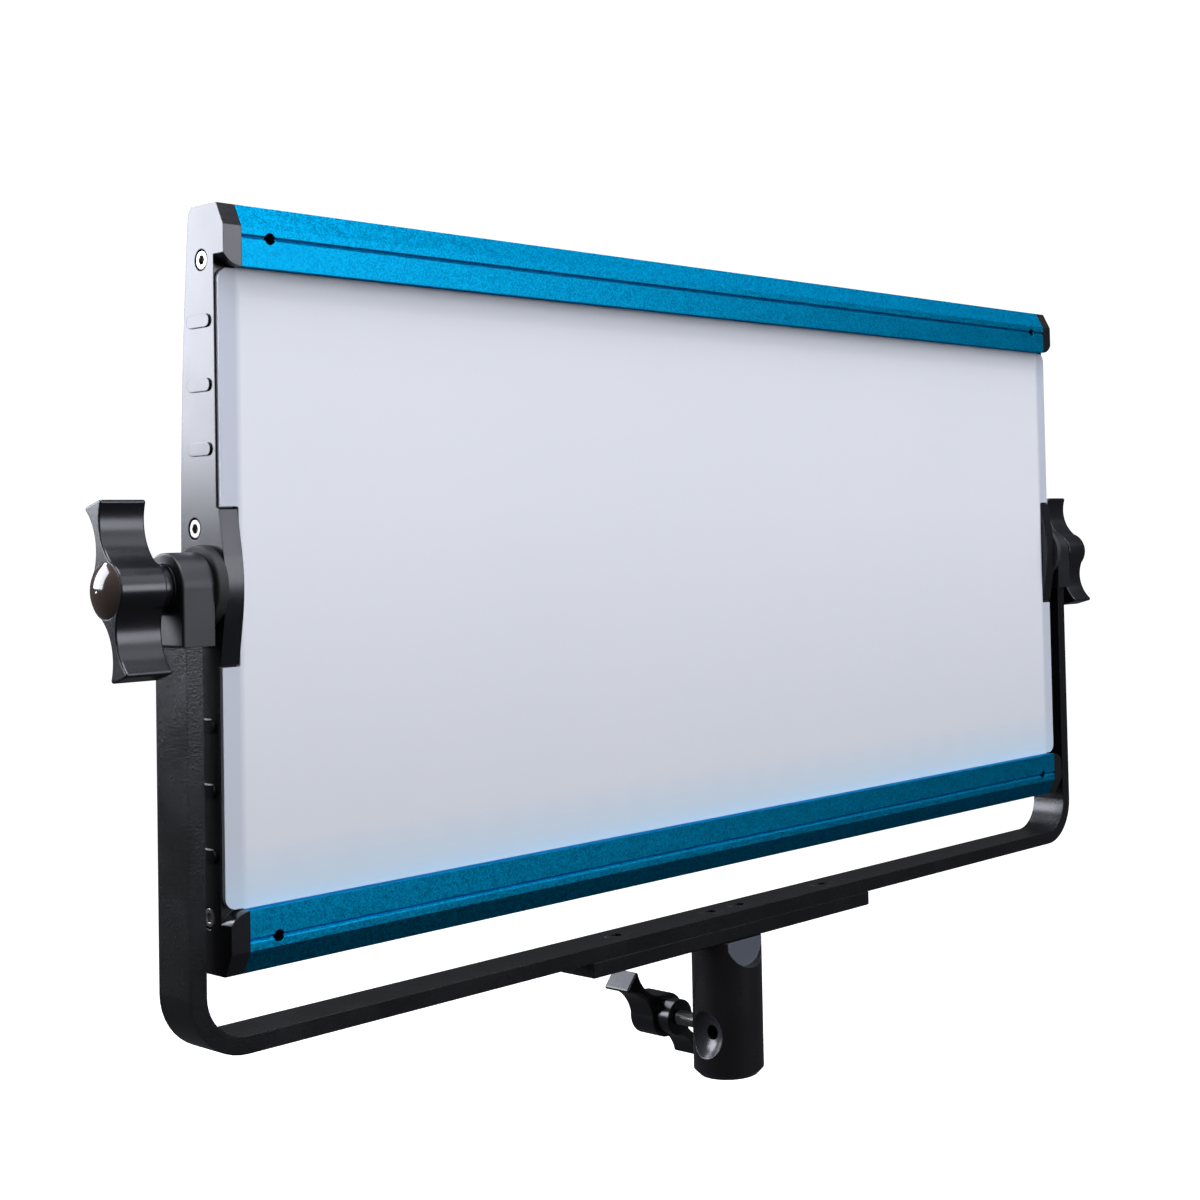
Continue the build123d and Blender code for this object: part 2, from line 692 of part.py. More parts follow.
# ---------------------------------------------------------------- side plates, inserts, discs
PLATE_PROFILE = [
    (TOP_BACK_Y, -CHORD_HALF),
    (TOP_BACK_Y - BACK_CORNER, -HALF_H),
    (FRONT_Y + CHAMFER_DEPTH, -HALF_H),
    (FRONT_Y, CHAMFER_RISE - HALF_H),
    (FRONT_Y, -RAIL_EDGE),
    (DIFFUSER_BACK_Y, -RAIL_EDGE),
    (DIFFUSER_BACK_Y, RAIL_EDGE),
    (FRONT_Y, RAIL_EDGE),
    (FRONT_Y, HALF_H - CHAMFER_RISE),
    (FRONT_Y + CHAMFER_DEPTH, HALF_H),
    (TOP_BACK_Y - BACK_CORNER, HALF_H),
    (TOP_BACK_Y, CHORD_HALF),
]
END_SCREW_SPOTS = [(PORT_Y, PORT_Z), (PORT_Y, -PORT_Z)]
MID_SCREW_SPOTS = [(MID_SCREW_Y, MID_SCREW_Z), (MID_SCREW_Y, -MID_SCREW_Z)]
for name, side in SIDES.items():
    inner = side_plane(side * RAIL_HALF)
    outward = Plane(origin=(side * HALF_W, 0, PIVOT_Z), x_dir=(0, 1, 0), z_dir=(side, 0, 0))
    with BuildPart() as plate:
        with BuildSketch(inner):
            with BuildLine():
                Polyline(*PLATE_PROFILE)
                ThreePointArc((TOP_BACK_Y, CHORD_HALF), (MID_BACK_Y, 0), (TOP_BACK_Y, -CHORD_HALF))
            make_face()
        extrude(amount=side * CAP_LIP)
        # raised boss in front of the pivot
        with BuildSketch(inner):
            with BuildLine():
                ThreePointArc(
                    (BOSS_BEND_Y, BOSS_BEND_Z), (BOSS_FRONT_Y, 0), (BOSS_BEND_Y, -BOSS_BEND_Z)
                )
                Polyline(
                    (BOSS_BEND_Y, -BOSS_BEND_Z),
                    (BOSS_END_Y, -BOSS_HALF),
                    (DIFFUSER_BACK_Y, -BOSS_TOE),
                    (DIFFUSER_BACK_Y, BOSS_TOE),
                    (BOSS_END_Y, BOSS_HALF),
                    (BOSS_BEND_Y, BOSS_BEND_Z),
                )
            make_face()
        extrude(amount=side * CAP_LIP)
        # rounded notches under the front lips of the two end caps
        for end in (1, -1):
            with BuildSketch(front_plane(DIFFUSER_BACK_Y)):
                with BuildLine():
                    Line((side * RAIL_HALF, end * RAIL_EDGE), (side * HALF_W, end * RAIL_EDGE))
                    Line((side * HALF_W, end * RAIL_EDGE), (side * HALF_W, end * (RAIL_EDGE + CAP_NOTCH)))
                    TangentArc(
                        (side * RAIL_HALF, end * RAIL_EDGE),
                        (side * HALF_W, end * (RAIL_EDGE + CAP_NOTCH)),
                        tangent=(side, 0),
                    )
                make_face()
            extrude(amount=DIFFUSER_BACK_Y - FRONT_Y, mode=Mode.SUBTRACT)
        # hollows behind the outer wall
        pocket_spots = [
            ((POCKET_FRONT_Y + POCKET_BACK_Y) / 2, end * (POCKET_LOW + POCKET_HIGH) / 2) for end in (1, -1)
        ]
        with BuildSketch(inner):
            with Locations(*pocket_spots):
                Rectangle(POCKET_BACK_Y - POCKET_FRONT_Y, POCKET_HIGH - POCKET_LOW)
        extrude(amount=side * (CAP_LIP - PLATE_WALL), mode=Mode.SUBTRACT)
        # screw seats and the pivot hole
        with BuildSketch(outward):
            with Locations(*END_SCREW_SPOTS, *MID_SCREW_SPOTS):
                Circle(SCREW_POCKET_R)
        extrude(amount=-SCREW_POCKET_DEPTH, mode=Mode.SUBTRACT)
        with BuildSketch(outward):
            with Locations(*END_SCREW_SPOTS, *MID_SCREW_SPOTS):
                Circle(SCREW_R + SCREW_FIT)
            Circle(CLEAR_HOLE_R)
        extrude(amount=-CAP_LIP, mode=Mode.SUBTRACT)
        # raised grip ribs above and below the pivot
        with BuildSketch(outward):
            with Locations(*[(RIB_Y, end * z) for z in RIB_Z for end in (1, -1)]):
                SlotOverall(RIB_LENGTH, RIB_WIDTH)
        extrude(amount=RIB_HEIGHT)
    save(plate.part, f"{name}_side_plate")

    with BuildPart() as insert:
        insert_back = back_y(INSERT_HALF) - BACK_T - INSERT_GAP
        with BuildSketch(side_plane(side * INSERT_INNER_X)):
            with Locations(((POCKET_FRONT_Y + insert_back) / 2, 0)):
                Rectangle(insert_back - POCKET_FRONT_Y, 2 * INSERT_HALF)
            Circle(STUD_R + RUNNING_FIT, mode=Mode.SUBTRACT)
            with Locations(*MID_SCREW_SPOTS):
                Circle(SCREW_R, mode=Mode.SUBTRACT)
        extrude(amount=side * INSERT_T)
    save(insert.part, f"{name}_pivot_insert")

    with BuildPart() as disc:
        with BuildSketch(outward):
            Circle(DISC_R)
            Circle(CLEAR_HOLE_R, mode=Mode.SUBTRACT)
        extrude(amount=DISC_X - HALF_W)
        fillet(disc.faces().sort_by(Axis.X)[0 if side < 0 else -1].outer_wire().edges(), DISC_EDGE_R)
    save(disc.part, f"{name}_friction_disc")

with BuildPart() as side_screws:
    for side in SIDES.values():
        head_top = side * (HALF_W - SCREW_POCKET_DEPTH + SCREW_HEAD_H)
        seat = Plane(origin=(head_top, 0, PIVOT_Z), x_dir=(0, 1, 0), z_dir=(side, 0, 0))
        add_screws(seat, END_SCREW_SPOTS, SCREW_HEAD_R, SCREW_HEAD_H, SCREW_R, END_SCREW_LENGTH, HEX_SMALL)
        add_screws(seat, MID_SCREW_SPOTS, SCREW_HEAD_R, SCREW_HEAD_H, SCREW_R, MID_SCREW_LENGTH, HEX_SMALL)
save(side_screws.part, "side_screws")

# ---------------------------------------------------------------- diffuser
with BuildPart() as diffuser:
    with BuildSketch(front_plane(DIFFUSER_BACK_Y)):
        RectangleRounded(2 * DIFFUSER_HALF_X, 2 * (RAIL_EDGE - DIFFUSER_GAP), DIFFUSER_CORNER)
        Rectangle(2 * DIFFUSER_TONGUE_X, 2 * DIFFUSER_TONGUE_Z)
        with Locations((-DIFFUSER_TONGUE_X - NOTCH_REACH, 0), (DIFFUSER_TONGUE_X + NOTCH_REACH, 0)):
            RectangleRounded(2 * NOTCH_REACH, 2 * NOTCH_HALF, NOTCH_CORNER, mode=Mode.SUBTRACT)
    extrude(amount=DIFFUSER_T)
save(diffuser.part, "diffuser")

# ---------------------------------------------------------------- light box frame, LED board, LEDs
with BuildPart() as reflector:
    with BuildSketch(front_plane(BOARD_FRONT_Y)):
        Rectangle(2 * FRAME_HALF_X, 2 * FRAME_HALF_Z)
        Rectangle(2 * (FRAME_HALF_X - FRAME_WALL), 2 * (FRAME_HALF_Z - FRAME_WALL), mode=Mode.SUBTRACT)
    extrude(amount=BOARD_FRONT_Y - DIFFUSER_BACK_Y)
save(reflector.part, "reflector_frame")

with BuildPart() as led_board:
    with BuildSketch(front_plane(BOARD_BACK_Y)):
        Rectangle(2 * BOARD_HALF_X, 2 * BOARD_HALF_Z)
    extrude(amount=BOARD_T)
save(led_board.part, "led_board")

with BuildPart() as leds:
    with BuildSketch(front_plane(BOARD_FRONT_Y)):
        with GridLocations(LED_PITCH_X, LED_PITCH_Z, LED_COLUMNS, LED_ROWS):
            Rectangle(LED_SIZE, LED_SIZE)
    extrude(amount=LED_H)
save(leds.part, "leds")

# ---------------------------------------------------------------- back panel
with BuildPart() as back_panel:
    with BuildSketch(side_plane(-RAIL_HALF)):
        with BuildLine():
            edge_y = back_y(BACK_HALF_Z)
            outer = ThreePointArc((edge_y, BACK_HALF_Z), (MID_BACK_Y, 0), (edge_y, -BACK_HALF_Z))
            inner = ThreePointArc(
                (edge_y - BACK_T, BACK_HALF_Z), (MID_BACK_Y - BACK_T, 0), (edge_y - BACK_T, -BACK_HALF_Z)
            )
            Line(outer @ 0, inner @ 0)
            Line(outer @ 1, inner @ 1)
        make_face()
    extrude(amount=2 * RAIL_HALF)
    # two banks of vent slots
    with BuildSketch(rear_plane(MID_BACK_Y)):
        with Locations((0, VENT_Z), (0, -VENT_Z)):
            with GridLocations(VENT_COLUMN_PITCH, VENT_PITCH, VENT_COLUMNS, VENT_COUNT):
                SlotOverall(VENT_LENGTH, VENT_WIDTH)
        with Locations((0, CABLE_Z)):
            Rectangle(CABLE_SLOT_W, CABLE_SLOT_H)
    extrude(amount=-LEDGE_BACK_Y, mode=Mode.SUBTRACT)
    cut_round(rear_plane(MID_BACK_Y), BACK_SCREW_SPOTS, SCREW_R + SCREW_FIT, BACK_DRILL_DEPTH)
    cut_round(rear_plane(MID_BACK_Y), FLANGE_SCREW_SPOTS, SCREW_R, FLANGE_DRILL_DEPTH)
save(back_panel.part, "back_panel")

# ---------------------------------------------------------------- rear control pod
POD_REAR = rear_plane(POD_BACK_Y)
PLATE_SCREW_SPOTS = [
    (sx * BATTERY_SCREW_X - BATTERY_X, sz * BATTERY_SCREW_Z) for sx in (-1, 1) for sz in (-1, 1)
]
INLET_SCREW_SPOTS = [
    (-INLET_X + turn * INLET_SCREW_OFFSET, INLET_Z - turn * INLET_SCREW_OFFSET) for turn in (1, -1)
]
with BuildPart() as pod:
    with BuildSketch(rear_plane(LEDGE_BACK_Y)):
        RectangleRounded(2 * POD_HALF_X, 2 * POD_HALF_Z, POD_CORNER)
    extrude(amount=POD_BACK_Y - LEDGE_BACK_Y)
    fillet(pod.faces().sort_by(Axis.Y)[-1].edges(), POD_EDGE_R)
    with BuildSketch(rear_plane(LEDGE_BACK_Y)):
        RectangleRounded(2 * FLANGE_HALF_X, 2 * FLANGE_HALF_Z, FLANGE_CORNER)
    extrude(amount=FLANGE_BACK_Y - LEDGE_BACK_Y)
    with BuildSketch(rear_plane(LEDGE_BACK_Y)):
        RectangleRounded(2 * (POD_HALF_X - POD_WALL), 2 * (POD_HALF_Z - POD_WALL), POD_CORNER - POD_WALL)
    extrude(amount=POD_INNER_Y - LEDGE_BACK_Y, mode=Mode.SUBTRACT)
    # posts that carry the driver board
    add_round(rear_plane(POD_INNER_Y), BOARD_POST_SPOTS, BOARD_POST_R, POD_INNER_Y - DRIVER_Y - BOARD_T)
    cut_round(rear_plane(POD_INNER_Y), BOARD_POST_SPOTS, BOARD_SCREW_R, POD_INNER_Y - DRIVER_Y - BOARD_T)
    # front rim follows the curve of the back panel
    with BuildSketch(side_plane(-FLANGE_HALF_X - 1)):
        with BuildLine():
            rim_z = POD_HALF_Z + 1
            rim = ThreePointArc((back_y(rim_z), rim_z), (MID_BACK_Y, 0), (back_y(rim_z), -rim_z))
            Polyline(rim @ 1, (0, -rim_z), (0, rim_z), rim @ 0)
        make_face()
    extrude(amount=2 * FLANGE_HALF_X + 2, mode=Mode.SUBTRACT)
    # openings for the controls
    cut_round(rear_plane(FLANGE_BACK_Y), FLANGE_SCREW_SPOTS, SCREW_R + SCREW_FIT, FLANGE_HOLE_DEPTH)
    cut_round(POD_REAR, [(-x, 0) for x in DIAL_X.values()], DIAL_BUSH_R, POD_WALL)
    cut_round(POD_REAR, [(-BUTTON_X, BUTTON_Z)], BUTTON_R + BUTTON_FIT, POD_WALL)
    cut_round(POD_REAR, [(-INLET_X, INLET_Z)], INLET_R, POD_WALL)
    cut_round(POD_REAR, INLET_SCREW_SPOTS + PLATE_SCREW_SPOTS, SCREW_R, POD_WALL)
    display_spot = [(-DISPLAY_X, DISPLAY_Z)]
    add_block(POD_REAR, display_spot, 2 * DISPLAY_HALF_X, 2 * DISPLAY_HALF_Z, WINDOW_T, Mode.SUBTRACT)
    opening_w = 2 * (DISPLAY_HALF_X - WINDOW_SHELF_X)
    opening_h = 2 * (DISPLAY_HALF_Z - WINDOW_SHELF_Z)
    add_block(POD_REAR, display_spot, opening_w, opening_h, POD_WALL, Mode.SUBTRACT)
    add_block(POD_REAR, [(-ROCKER_X, ROCKER_Z)], SWITCH_BODY_X, SWITCH_BODY_Z, POD_WALL, Mode.SUBTRACT)
    data_plane = Plane(origin=(-POD_HALF_X, DATA_Y, PIVOT_Z), x_dir=(0, 1, 0), z_dir=(-1, 0, 0))
    add_block(data_plane, [(0, -z) for z in DATA_Z], DATA_W, DATA_H, POD_WALL, Mode.SUBTRACT)
save(pod.part, "control_housing")

# ---------------------------------------------------------------- cover screws
with BuildPart() as cover_screws:
    cover_head_y = back_y(BACK_SCREW_Z - SCREW_HEAD_R) + COVER_SEAT_GAP
    cover_depth = cover_head_y - LEDGE_FRONT_Y
    cover_seat = rear_plane(cover_head_y + LOW_HEAD_H)
    flange_seat = rear_plane(FLANGE_BACK_Y + LOW_HEAD_H)
    add_screws(cover_seat, BACK_SCREW_SPOTS, SCREW_HEAD_R, LOW_HEAD_H, SCREW_R, cover_depth, HEX_COVER)
    add_screws(flange_seat, FLANGE_SCREW_SPOTS, SCREW_HEAD_R, LOW_HEAD_H, SCREW_R, cover_depth, HEX_COVER)
save(cover_screws.part, "cover_screws")

# ---------------------------------------------------------------- battery plate and its release
with BuildPart() as battery:
    with BuildSketch(rear_plane(POD_BACK_Y, x=BATTERY_X)):
        RectangleRounded(2 * BATTERY_HALF_X, 2 * BATTERY_HALF_Z, BATTERY_CORNER)
    extrude(amount=BATTERY_T)
    chamfer(battery.faces().sort_by(Axis.Y)[-1].edges(), BATTERY_EDGE)
    # wedge-shaped slot, open at the top, with undercut sides
    with BuildSketch(rear_plane(BATTERY_BACK_Y, x=BATTERY_X)):
        with BuildLine():
            Polyline(
                (-WEDGE_TOP_HALF, BATTERY_HALF_Z + WEDGE_OVERRUN),
                (-WEDGE_LOW_HALF, WEDGE_LOW_Z),
                (WEDGE_LOW_HALF, WEDGE_LOW_Z),
                (WEDGE_TOP_HALF, BATTERY_HALF_Z + WEDGE_OVERRUN),
                close=True,
            )
        make_face()
    extrude(amount=-WEDGE_DEPTH, taper=WEDGE_TAPER, mode=Mode.SUBTRACT)
    cut_round(rear_plane(BATTERY_BACK_Y), PLATE_SCREW_SPOTS, SCREW_R + SCREW_FIT, BATTERY_T)
    cut_round(rear_plane(BATTERY_BACK_Y), PLATE_SCREW_SPOTS, SCREW_POCKET_R, SCREW_POCKET_DEPTH)
    release_x = BATTERY_X + BATTERY_HALF_X
    release_y = POD_BACK_Y + BATTERY_T / 2
    release_spot = (release_x, release_y, PIVOT_Z + RELEASE_Z)
    release_plane = Plane(origin=release_spot, x_dir=(0, 1, 0), z_dir=(1, 0, 0))
    cut_round(release_plane, [(0, 0)], RELEASE_R + RELEASE_FIT, RELEASE_HOLE_DEPTH)
save(battery.part, "battery_plate")

with BuildPart() as plate_screws:
    head_plane = rear_plane(BATTERY_BACK_Y - BATTERY_HEAD_DROP)
    add_screws(
        head_plane, PLATE_SCREW_SPOTS, SCREW_HEAD_R, SCREW_HEAD_H, SCREW_R, BATTERY_SCREW_LENGTH, HEX_SMALL
    )
save(plate_screws.part, "battery_plate_screws")

with BuildPart() as contacts:
    contact_plane = rear_plane(BATTERY_BACK_Y - WEDGE_DEPTH + CONTACT_RISE, x=BATTERY_X)
    add_block(contact_plane, [(x, CONTACT_Z) for x in CONTACT_X], CONTACT_W, CONTACT_H, CONTACT_RISE)
save(contacts.part, "battery_contacts")

with BuildPart() as release:
    add_round(release_plane.offset(RELEASE_PROUD), [(0, 0)], RELEASE_R, RELEASE_LENGTH)
    fillet(release.faces().sort_by(Axis.X)[-1].edges(), RELEASE_EDGE_R)
save(release.part, "battery_release")

# ---------------------------------------------------------------- driver board inside the pod
with BuildPart() as driver:
    width = DRIVER_RIGHT_X - DRIVER_LEFT_X
    board_spot = [(-(DRIVER_LEFT_X + DRIVER_RIGHT_X) / 2, 0)]
    add_block(rear_plane(DRIVER_Y + BOARD_T), board_spot, width, 2 * DRIVER_HALF_Z, BOARD_T)
    cut_round(rear_plane(DRIVER_Y + BOARD_T), BOARD_POST_SPOTS, BOARD_SCREW_R, BOARD_T)
save(driver.part, "driver_board")

with BuildPart() as board_screws:
    add_screws(
        front_plane(DRIVER_Y - BOARD_HEAD_H),
        [(-x, z) for x, z in BOARD_POST_SPOTS],
        BOARD_HEAD_R,
        BOARD_HEAD_H,
        BOARD_SCREW_R,
        BOARD_SCREW_LENGTH,
        HEX_BOARD,
    )
save(board_screws.part, "driver_board_screws")

with BuildPart() as components:
    component_plane = rear_plane(DRIVER_Y + BOARD_T + COMPONENT_H)
    add_round(component_plane, CAPACITOR_SPOTS, CAPACITOR_R, COMPONENT_H)
    add_block(component_plane, [TRANSFORMER_SPOT], TRANSFORMER_W, TRANSFORMER_H, COMPONENT_H)
    add_block(component_plane, [CHIP_SPOT], CHIP_SIZE, CHIP_SIZE, COMPONENT_H)
    # push switch under the mode button
    add_block(component_plane, [(-BUTTON_X, BUTTON_Z)], TACT_SIZE, TACT_SIZE, COMPONENT_H)
save(components.part, "driver_components")

with BuildPart() as heatsink:
    heatsink_plane = rear_plane(DRIVER_Y)
    fin_numbers = range(-FINS_EACH_SIDE, FINS_EACH_SIDE + 1)
    fin_spots = [(FIN_PITCH * number - HEATSINK_X, 0) for number in fin_numbers]
    add_block(heatsink_plane, [(-HEATSINK_X, 0)], HEATSINK_W, HEATSINK_H, HEATSINK_BASE)
    add_block(heatsink_plane, fin_spots, FIN_T, HEATSINK_H, FIN_DEPTH)
save(heatsink.part, "heatsink")

with BuildPart() as ribbon:
    add_block(rear_plane(DRIVER_Y), [(0, CABLE_Z)], RIBBON_W, RIBBON_T, DRIVER_Y - BOARD_BACK_Y)
save(ribbon.part, "led_ribbon")

# ---------------------------------------------------------------- display
with BuildPart() as window:
    add_block(POD_REAR, display_spot, 2 * DISPLAY_HALF_X, 2 * DISPLAY_HALF_Z, WINDOW_T)
save(window.part, "display_window")

with BuildPart() as display:
    module_w = 2 * (DISPLAY_HALF_X - DISPLAY_MARGIN_X)
    module_h = 2 * (DISPLAY_HALF_Z - DISPLAY_MARGIN_Z)
    add_block(rear_plane(POD_INNER_Y), display_spot, module_w, module_h, DISPLAY_T)
save(display.part, "display_module")

# ---------------------------------------------------------------- dimmer and colour dials
with BuildPart() as encoders:
    dial_spots = [(-x, 0) for x in DIAL_X.values()]
    bush_top = rear_plane(POD_BACK_Y + ENCODER_BUSH_PROUD)
    add_block(rear_plane(POD_INNER_Y), dial_spots, ENCODER_SIZE, ENCODER_SIZE, ENCODER_DEPTH)
    add_round(bush_top, dial_spots, DIAL_BUSH_R, POD_WALL + ENCODER_BUSH_PROUD)
    cut_round(bush_top, dial_spots, DIAL_SHAFT_R + RUNNING_FIT, ENCODER_BORE_DEPTH)
save(encoders.part, "dial_encoders")

DIAL_FOOT_Y = POD_BACK_Y + DIAL_GAP
DIAL_TOP = rear_plane(DIAL_FOOT_Y + DIAL_H)
SHAFT_TOP = rear_plane(DIAL_FOOT_Y + DIAL_H - DIAL_ROOF)
for name, x in DIAL_X.items():
    dial_spot = [(-x, 0)]
    with BuildPart() as shaft:
        add_round(SHAFT_TOP, dial_spot, DIAL_SHAFT_R, DIAL_H + DIAL_GAP + DIAL_SHAFT_IN)
    save(shaft.part, f"{name}_shaft")

    with BuildPart() as dial:
        add_round(DIAL_TOP, dial_spot, DIAL_R, DIAL_H)
        fillet(dial.faces().sort_by(Axis.Y)[-1].edges(), DIAL_EDGE_R)
        cut_round(rear_plane(DIAL_FOOT_Y + DIAL_SKIRT_DEPTH), dial_spot, DIAL_SKIRT_R, DIAL_SKIRT_DEPTH)
        cut_round(SHAFT_TOP, dial_spot, DIAL_SHAFT_R, DIAL_H)
        # pointer groove across the crown, near the rim
        with BuildSketch(DIAL_TOP):
            with Locations((-x, DIAL_R - POINTER_INSET)):
                Rectangle(POINTER_W, POINTER_LENGTH)
        extrude(amount=-POINTER_DEPTH, mode=Mode.SUBTRACT)
    save(dial.part, f"{name}_dial")

# ---------------------------------------------------------------- power switch
rocker_spot = [(-ROCKER_X, ROCKER_Z)]
with BuildPart() as switch:
    rim_plane = rear_plane(POD_BACK_Y + SWITCH_RIM_T)
    add_block(rim_plane, rocker_spot, SWITCH_RIM_X, SWITCH_RIM_Z, SWITCH_RIM_T)
    add_block(rear_plane(POD_BACK_Y), rocker_spot, SWITCH_BODY_X, SWITCH_BODY_Z, SWITCH_BODY_DEPTH)
    add_block(rim_plane, rocker_spot, SWITCH_WELL_X, SWITCH_WELL_Z, SWITCH_WELL_DEPTH, Mode.SUBTRACT)
    pin_line = Plane(
        origin=(ROCKER_X - SWITCH_BODY_X / 2, ROCKER_PIVOT_Y, PIVOT_Z + ROCKER_Z),
        x_dir=(0, 1, 0),
        z_dir=(-1, 0, 0),
    )
    cut_round(pin_line, [(0, 0)], ROCKER_PIN_R, SWITCH_BODY_X)
save(switch.part, "power_switch_frame")

with BuildPart() as rocker_pin:
    add_round(pin_line, [(0, 0)], ROCKER_PIN_R, SWITCH_BODY_X)
save(rocker_pin.part, "rocker_pin")

with BuildPart() as rocker:
    rocker_plane = Plane(
        origin=(ROCKER_X - ROCKER_HALF_X, ROCKER_PIVOT_Y, PIVOT_Z + ROCKER_Z),
        x_dir=(0, cos(radians(ROCKER_TILT)), sin(radians(ROCKER_TILT))),
        z_dir=(1, 0, 0),
    )
    with BuildSketch(rocker_plane):
        with BuildLine():
            Polyline(
                (ROCKER_BACK, -ROCKER_HALF_Z),
                (ROCKER_END, -ROCKER_HALF_Z),
                (ROCKER_DIP, 0),
                (ROCKER_END, ROCKER_HALF_Z),
                (ROCKER_BACK, ROCKER_HALF_Z),
                close=True,
            )
        make_face()
        Circle(ROCKER_PIN_R + RUNNING_FIT, mode=Mode.SUBTRACT)
    extrude(amount=2 * ROCKER_HALF_X)
save(rocker.part, "power_rocker")

# ---------------------------------------------------------------- mode button
button_spot = [(-BUTTON_X, BUTTON_Z)]
with BuildPart() as button:
    button_top = rear_plane(POD_BACK_Y + BUTTON_PROUD)
    add_round(button_top, button_spot, BUTTON_R, BUTTON_PROUD + POD_WALL + BUTTON_PLAY)
    fillet(button.faces().sort_by(Axis.Y)[-1].edges(), BUTTON_EDGE_R)
    collar_top = rear_plane(POD_INNER_Y - BUTTON_PLAY)
    add_round(collar_top, button_spot, BUTTON_R + BUTTON_RETAINER, BUTTON_RETAINER)
save(button.part, "mode_button")

# ---------------------------------------------------------------- power inlet and data sockets
inlet_spot = [(-INLET_X, INLET_Z)]
with BuildPart() as inlet:
    with BuildSketch(POD_REAR):
        with Locations(*inlet_spot):
            RectangleRounded(INLET_FLANGE, INLET_FLANGE, INLET_CORNER)
    extrude(amount=INLET_FLANGE_T)
    flange_top = rear_plane(POD_BACK_Y + INLET_FLANGE_T)
    add_round(POD_REAR, inlet_spot, INLET_R, INLET_DEPTH)
    cut_round(flange_top, inlet_spot, INLET_BORE_R, INLET_BORE_DEPTH)
    cut_round(flange_top, INLET_SCREW_SPOTS, SCREW_R + SCREW_FIT, INLET_FLANGE_T)
save(inlet.part, "power_inlet")

with BuildPart() as pins:
    corners = [(sx, sz) for sx in (-1, 1) for sz in (-1, 1)]
    pin_spots = [(-INLET_X + sx * PIN_OFFSET, INLET_Z + sz * PIN_OFFSET) for sx, sz in corners]
    add_round(rear_plane(POD_BACK_Y - PIN_INSET), pin_spots, PIN_R, PIN_LENGTH)
    fillet(pins.faces().filter_by(Axis.Y).group_by(Axis.Y)[-1].edges(), PIN_TIP_R)
save(pins.part, "inlet_pins")

with BuildPart() as inlet_screws:
    inlet_head_top = rear_plane(POD_BACK_Y + INLET_FLANGE_T + BOARD_HEAD_H)
    add_screws(
        inlet_head_top, INLET_SCREW_SPOTS, BOARD_HEAD_R, BOARD_HEAD_H, SCREW_R, INLET_SCREW_LENGTH, HEX_INLET
    )
save(inlet_screws.part, "inlet_screws")

with BuildPart() as sockets:
    socket_spots = [(0, -z) for z in DATA_Z]
    socket_face = data_plane.offset(DATA_PROUD)
    add_block(socket_face, socket_spots, DATA_W, DATA_H, DATA_DEPTH)
    add_block(socket_face, socket_spots, DATA_BORE_W, DATA_BORE_H, DATA_BORE_DEPTH, Mode.SUBTRACT)
save(sockets.part, "data_sockets")
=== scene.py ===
"""Soft LED light panel on its yoke: finishes, small visible details, lights and camera."""
import math

import bpy
from mathutils import Matrix, Vector


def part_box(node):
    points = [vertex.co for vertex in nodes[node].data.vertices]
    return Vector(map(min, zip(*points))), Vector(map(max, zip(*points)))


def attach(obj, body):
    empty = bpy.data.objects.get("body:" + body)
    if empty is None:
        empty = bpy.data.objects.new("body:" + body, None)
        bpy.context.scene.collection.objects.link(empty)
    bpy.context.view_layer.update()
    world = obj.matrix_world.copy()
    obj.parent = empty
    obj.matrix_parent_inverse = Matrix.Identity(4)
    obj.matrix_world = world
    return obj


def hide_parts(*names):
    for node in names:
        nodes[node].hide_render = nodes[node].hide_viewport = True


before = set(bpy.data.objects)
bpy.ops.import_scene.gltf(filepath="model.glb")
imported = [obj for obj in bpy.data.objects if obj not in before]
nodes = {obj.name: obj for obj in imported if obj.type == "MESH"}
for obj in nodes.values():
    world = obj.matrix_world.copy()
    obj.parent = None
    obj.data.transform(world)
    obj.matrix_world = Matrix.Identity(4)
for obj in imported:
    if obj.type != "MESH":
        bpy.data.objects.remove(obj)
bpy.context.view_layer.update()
MM = 0.001


# ---------- camera ----------
CAMERA_PLACE = (-0.5926, -0.5335, 0.2284)
CAMERA_TURN = (91.82, 1.234, -49.077)
LENS = 55.97
SHIFT = (-0.1273, -0.1068)

camera_data = bpy.data.cameras.new("camera")
camera_data.lens = LENS
camera_data.shift_x, camera_data.shift_y = SHIFT
camera = bpy.data.objects.new("camera", camera_data)
camera.location = CAMERA_PLACE
camera.rotation_euler = [math.radians(turn) for turn in CAMERA_TURN]
bpy.context.scene.collection.objects.link(camera)
bpy.context.scene.camera = camera
bpy.context.scene.view_settings.view_transform = "Standard"


# ---------- lights ----------
PANEL_CENTRE = Vector((0.0, 0.0, 0.21))
DAYLIGHT = (0.87, 0.90, 1.0)
SKY_COLOUR = (0.93, 0.96, 1.0, 1.0)
SKY_STRENGTH = 0.07


def softbox(name, place, width, height, radiance):
    """A rectangular soft light that faces the panel and isn't seen itself."""
    light = bpy.data.lights.new(name, "AREA")
    light.color = DAYLIGHT
    light.shape = "RECTANGLE"
    light.size = width
    light.size_y = height
    light.energy = radiance * math.pi * width * height
    lamp = bpy.data.objects.new(name, light)
    lamp.location = place
    lamp.rotation_euler = (PANEL_CENTRE - lamp.location).to_track_quat("-Z", "Y").to_euler()
    lamp.visible_camera = False
    bpy.context.scene.collection.objects.link(lamp)


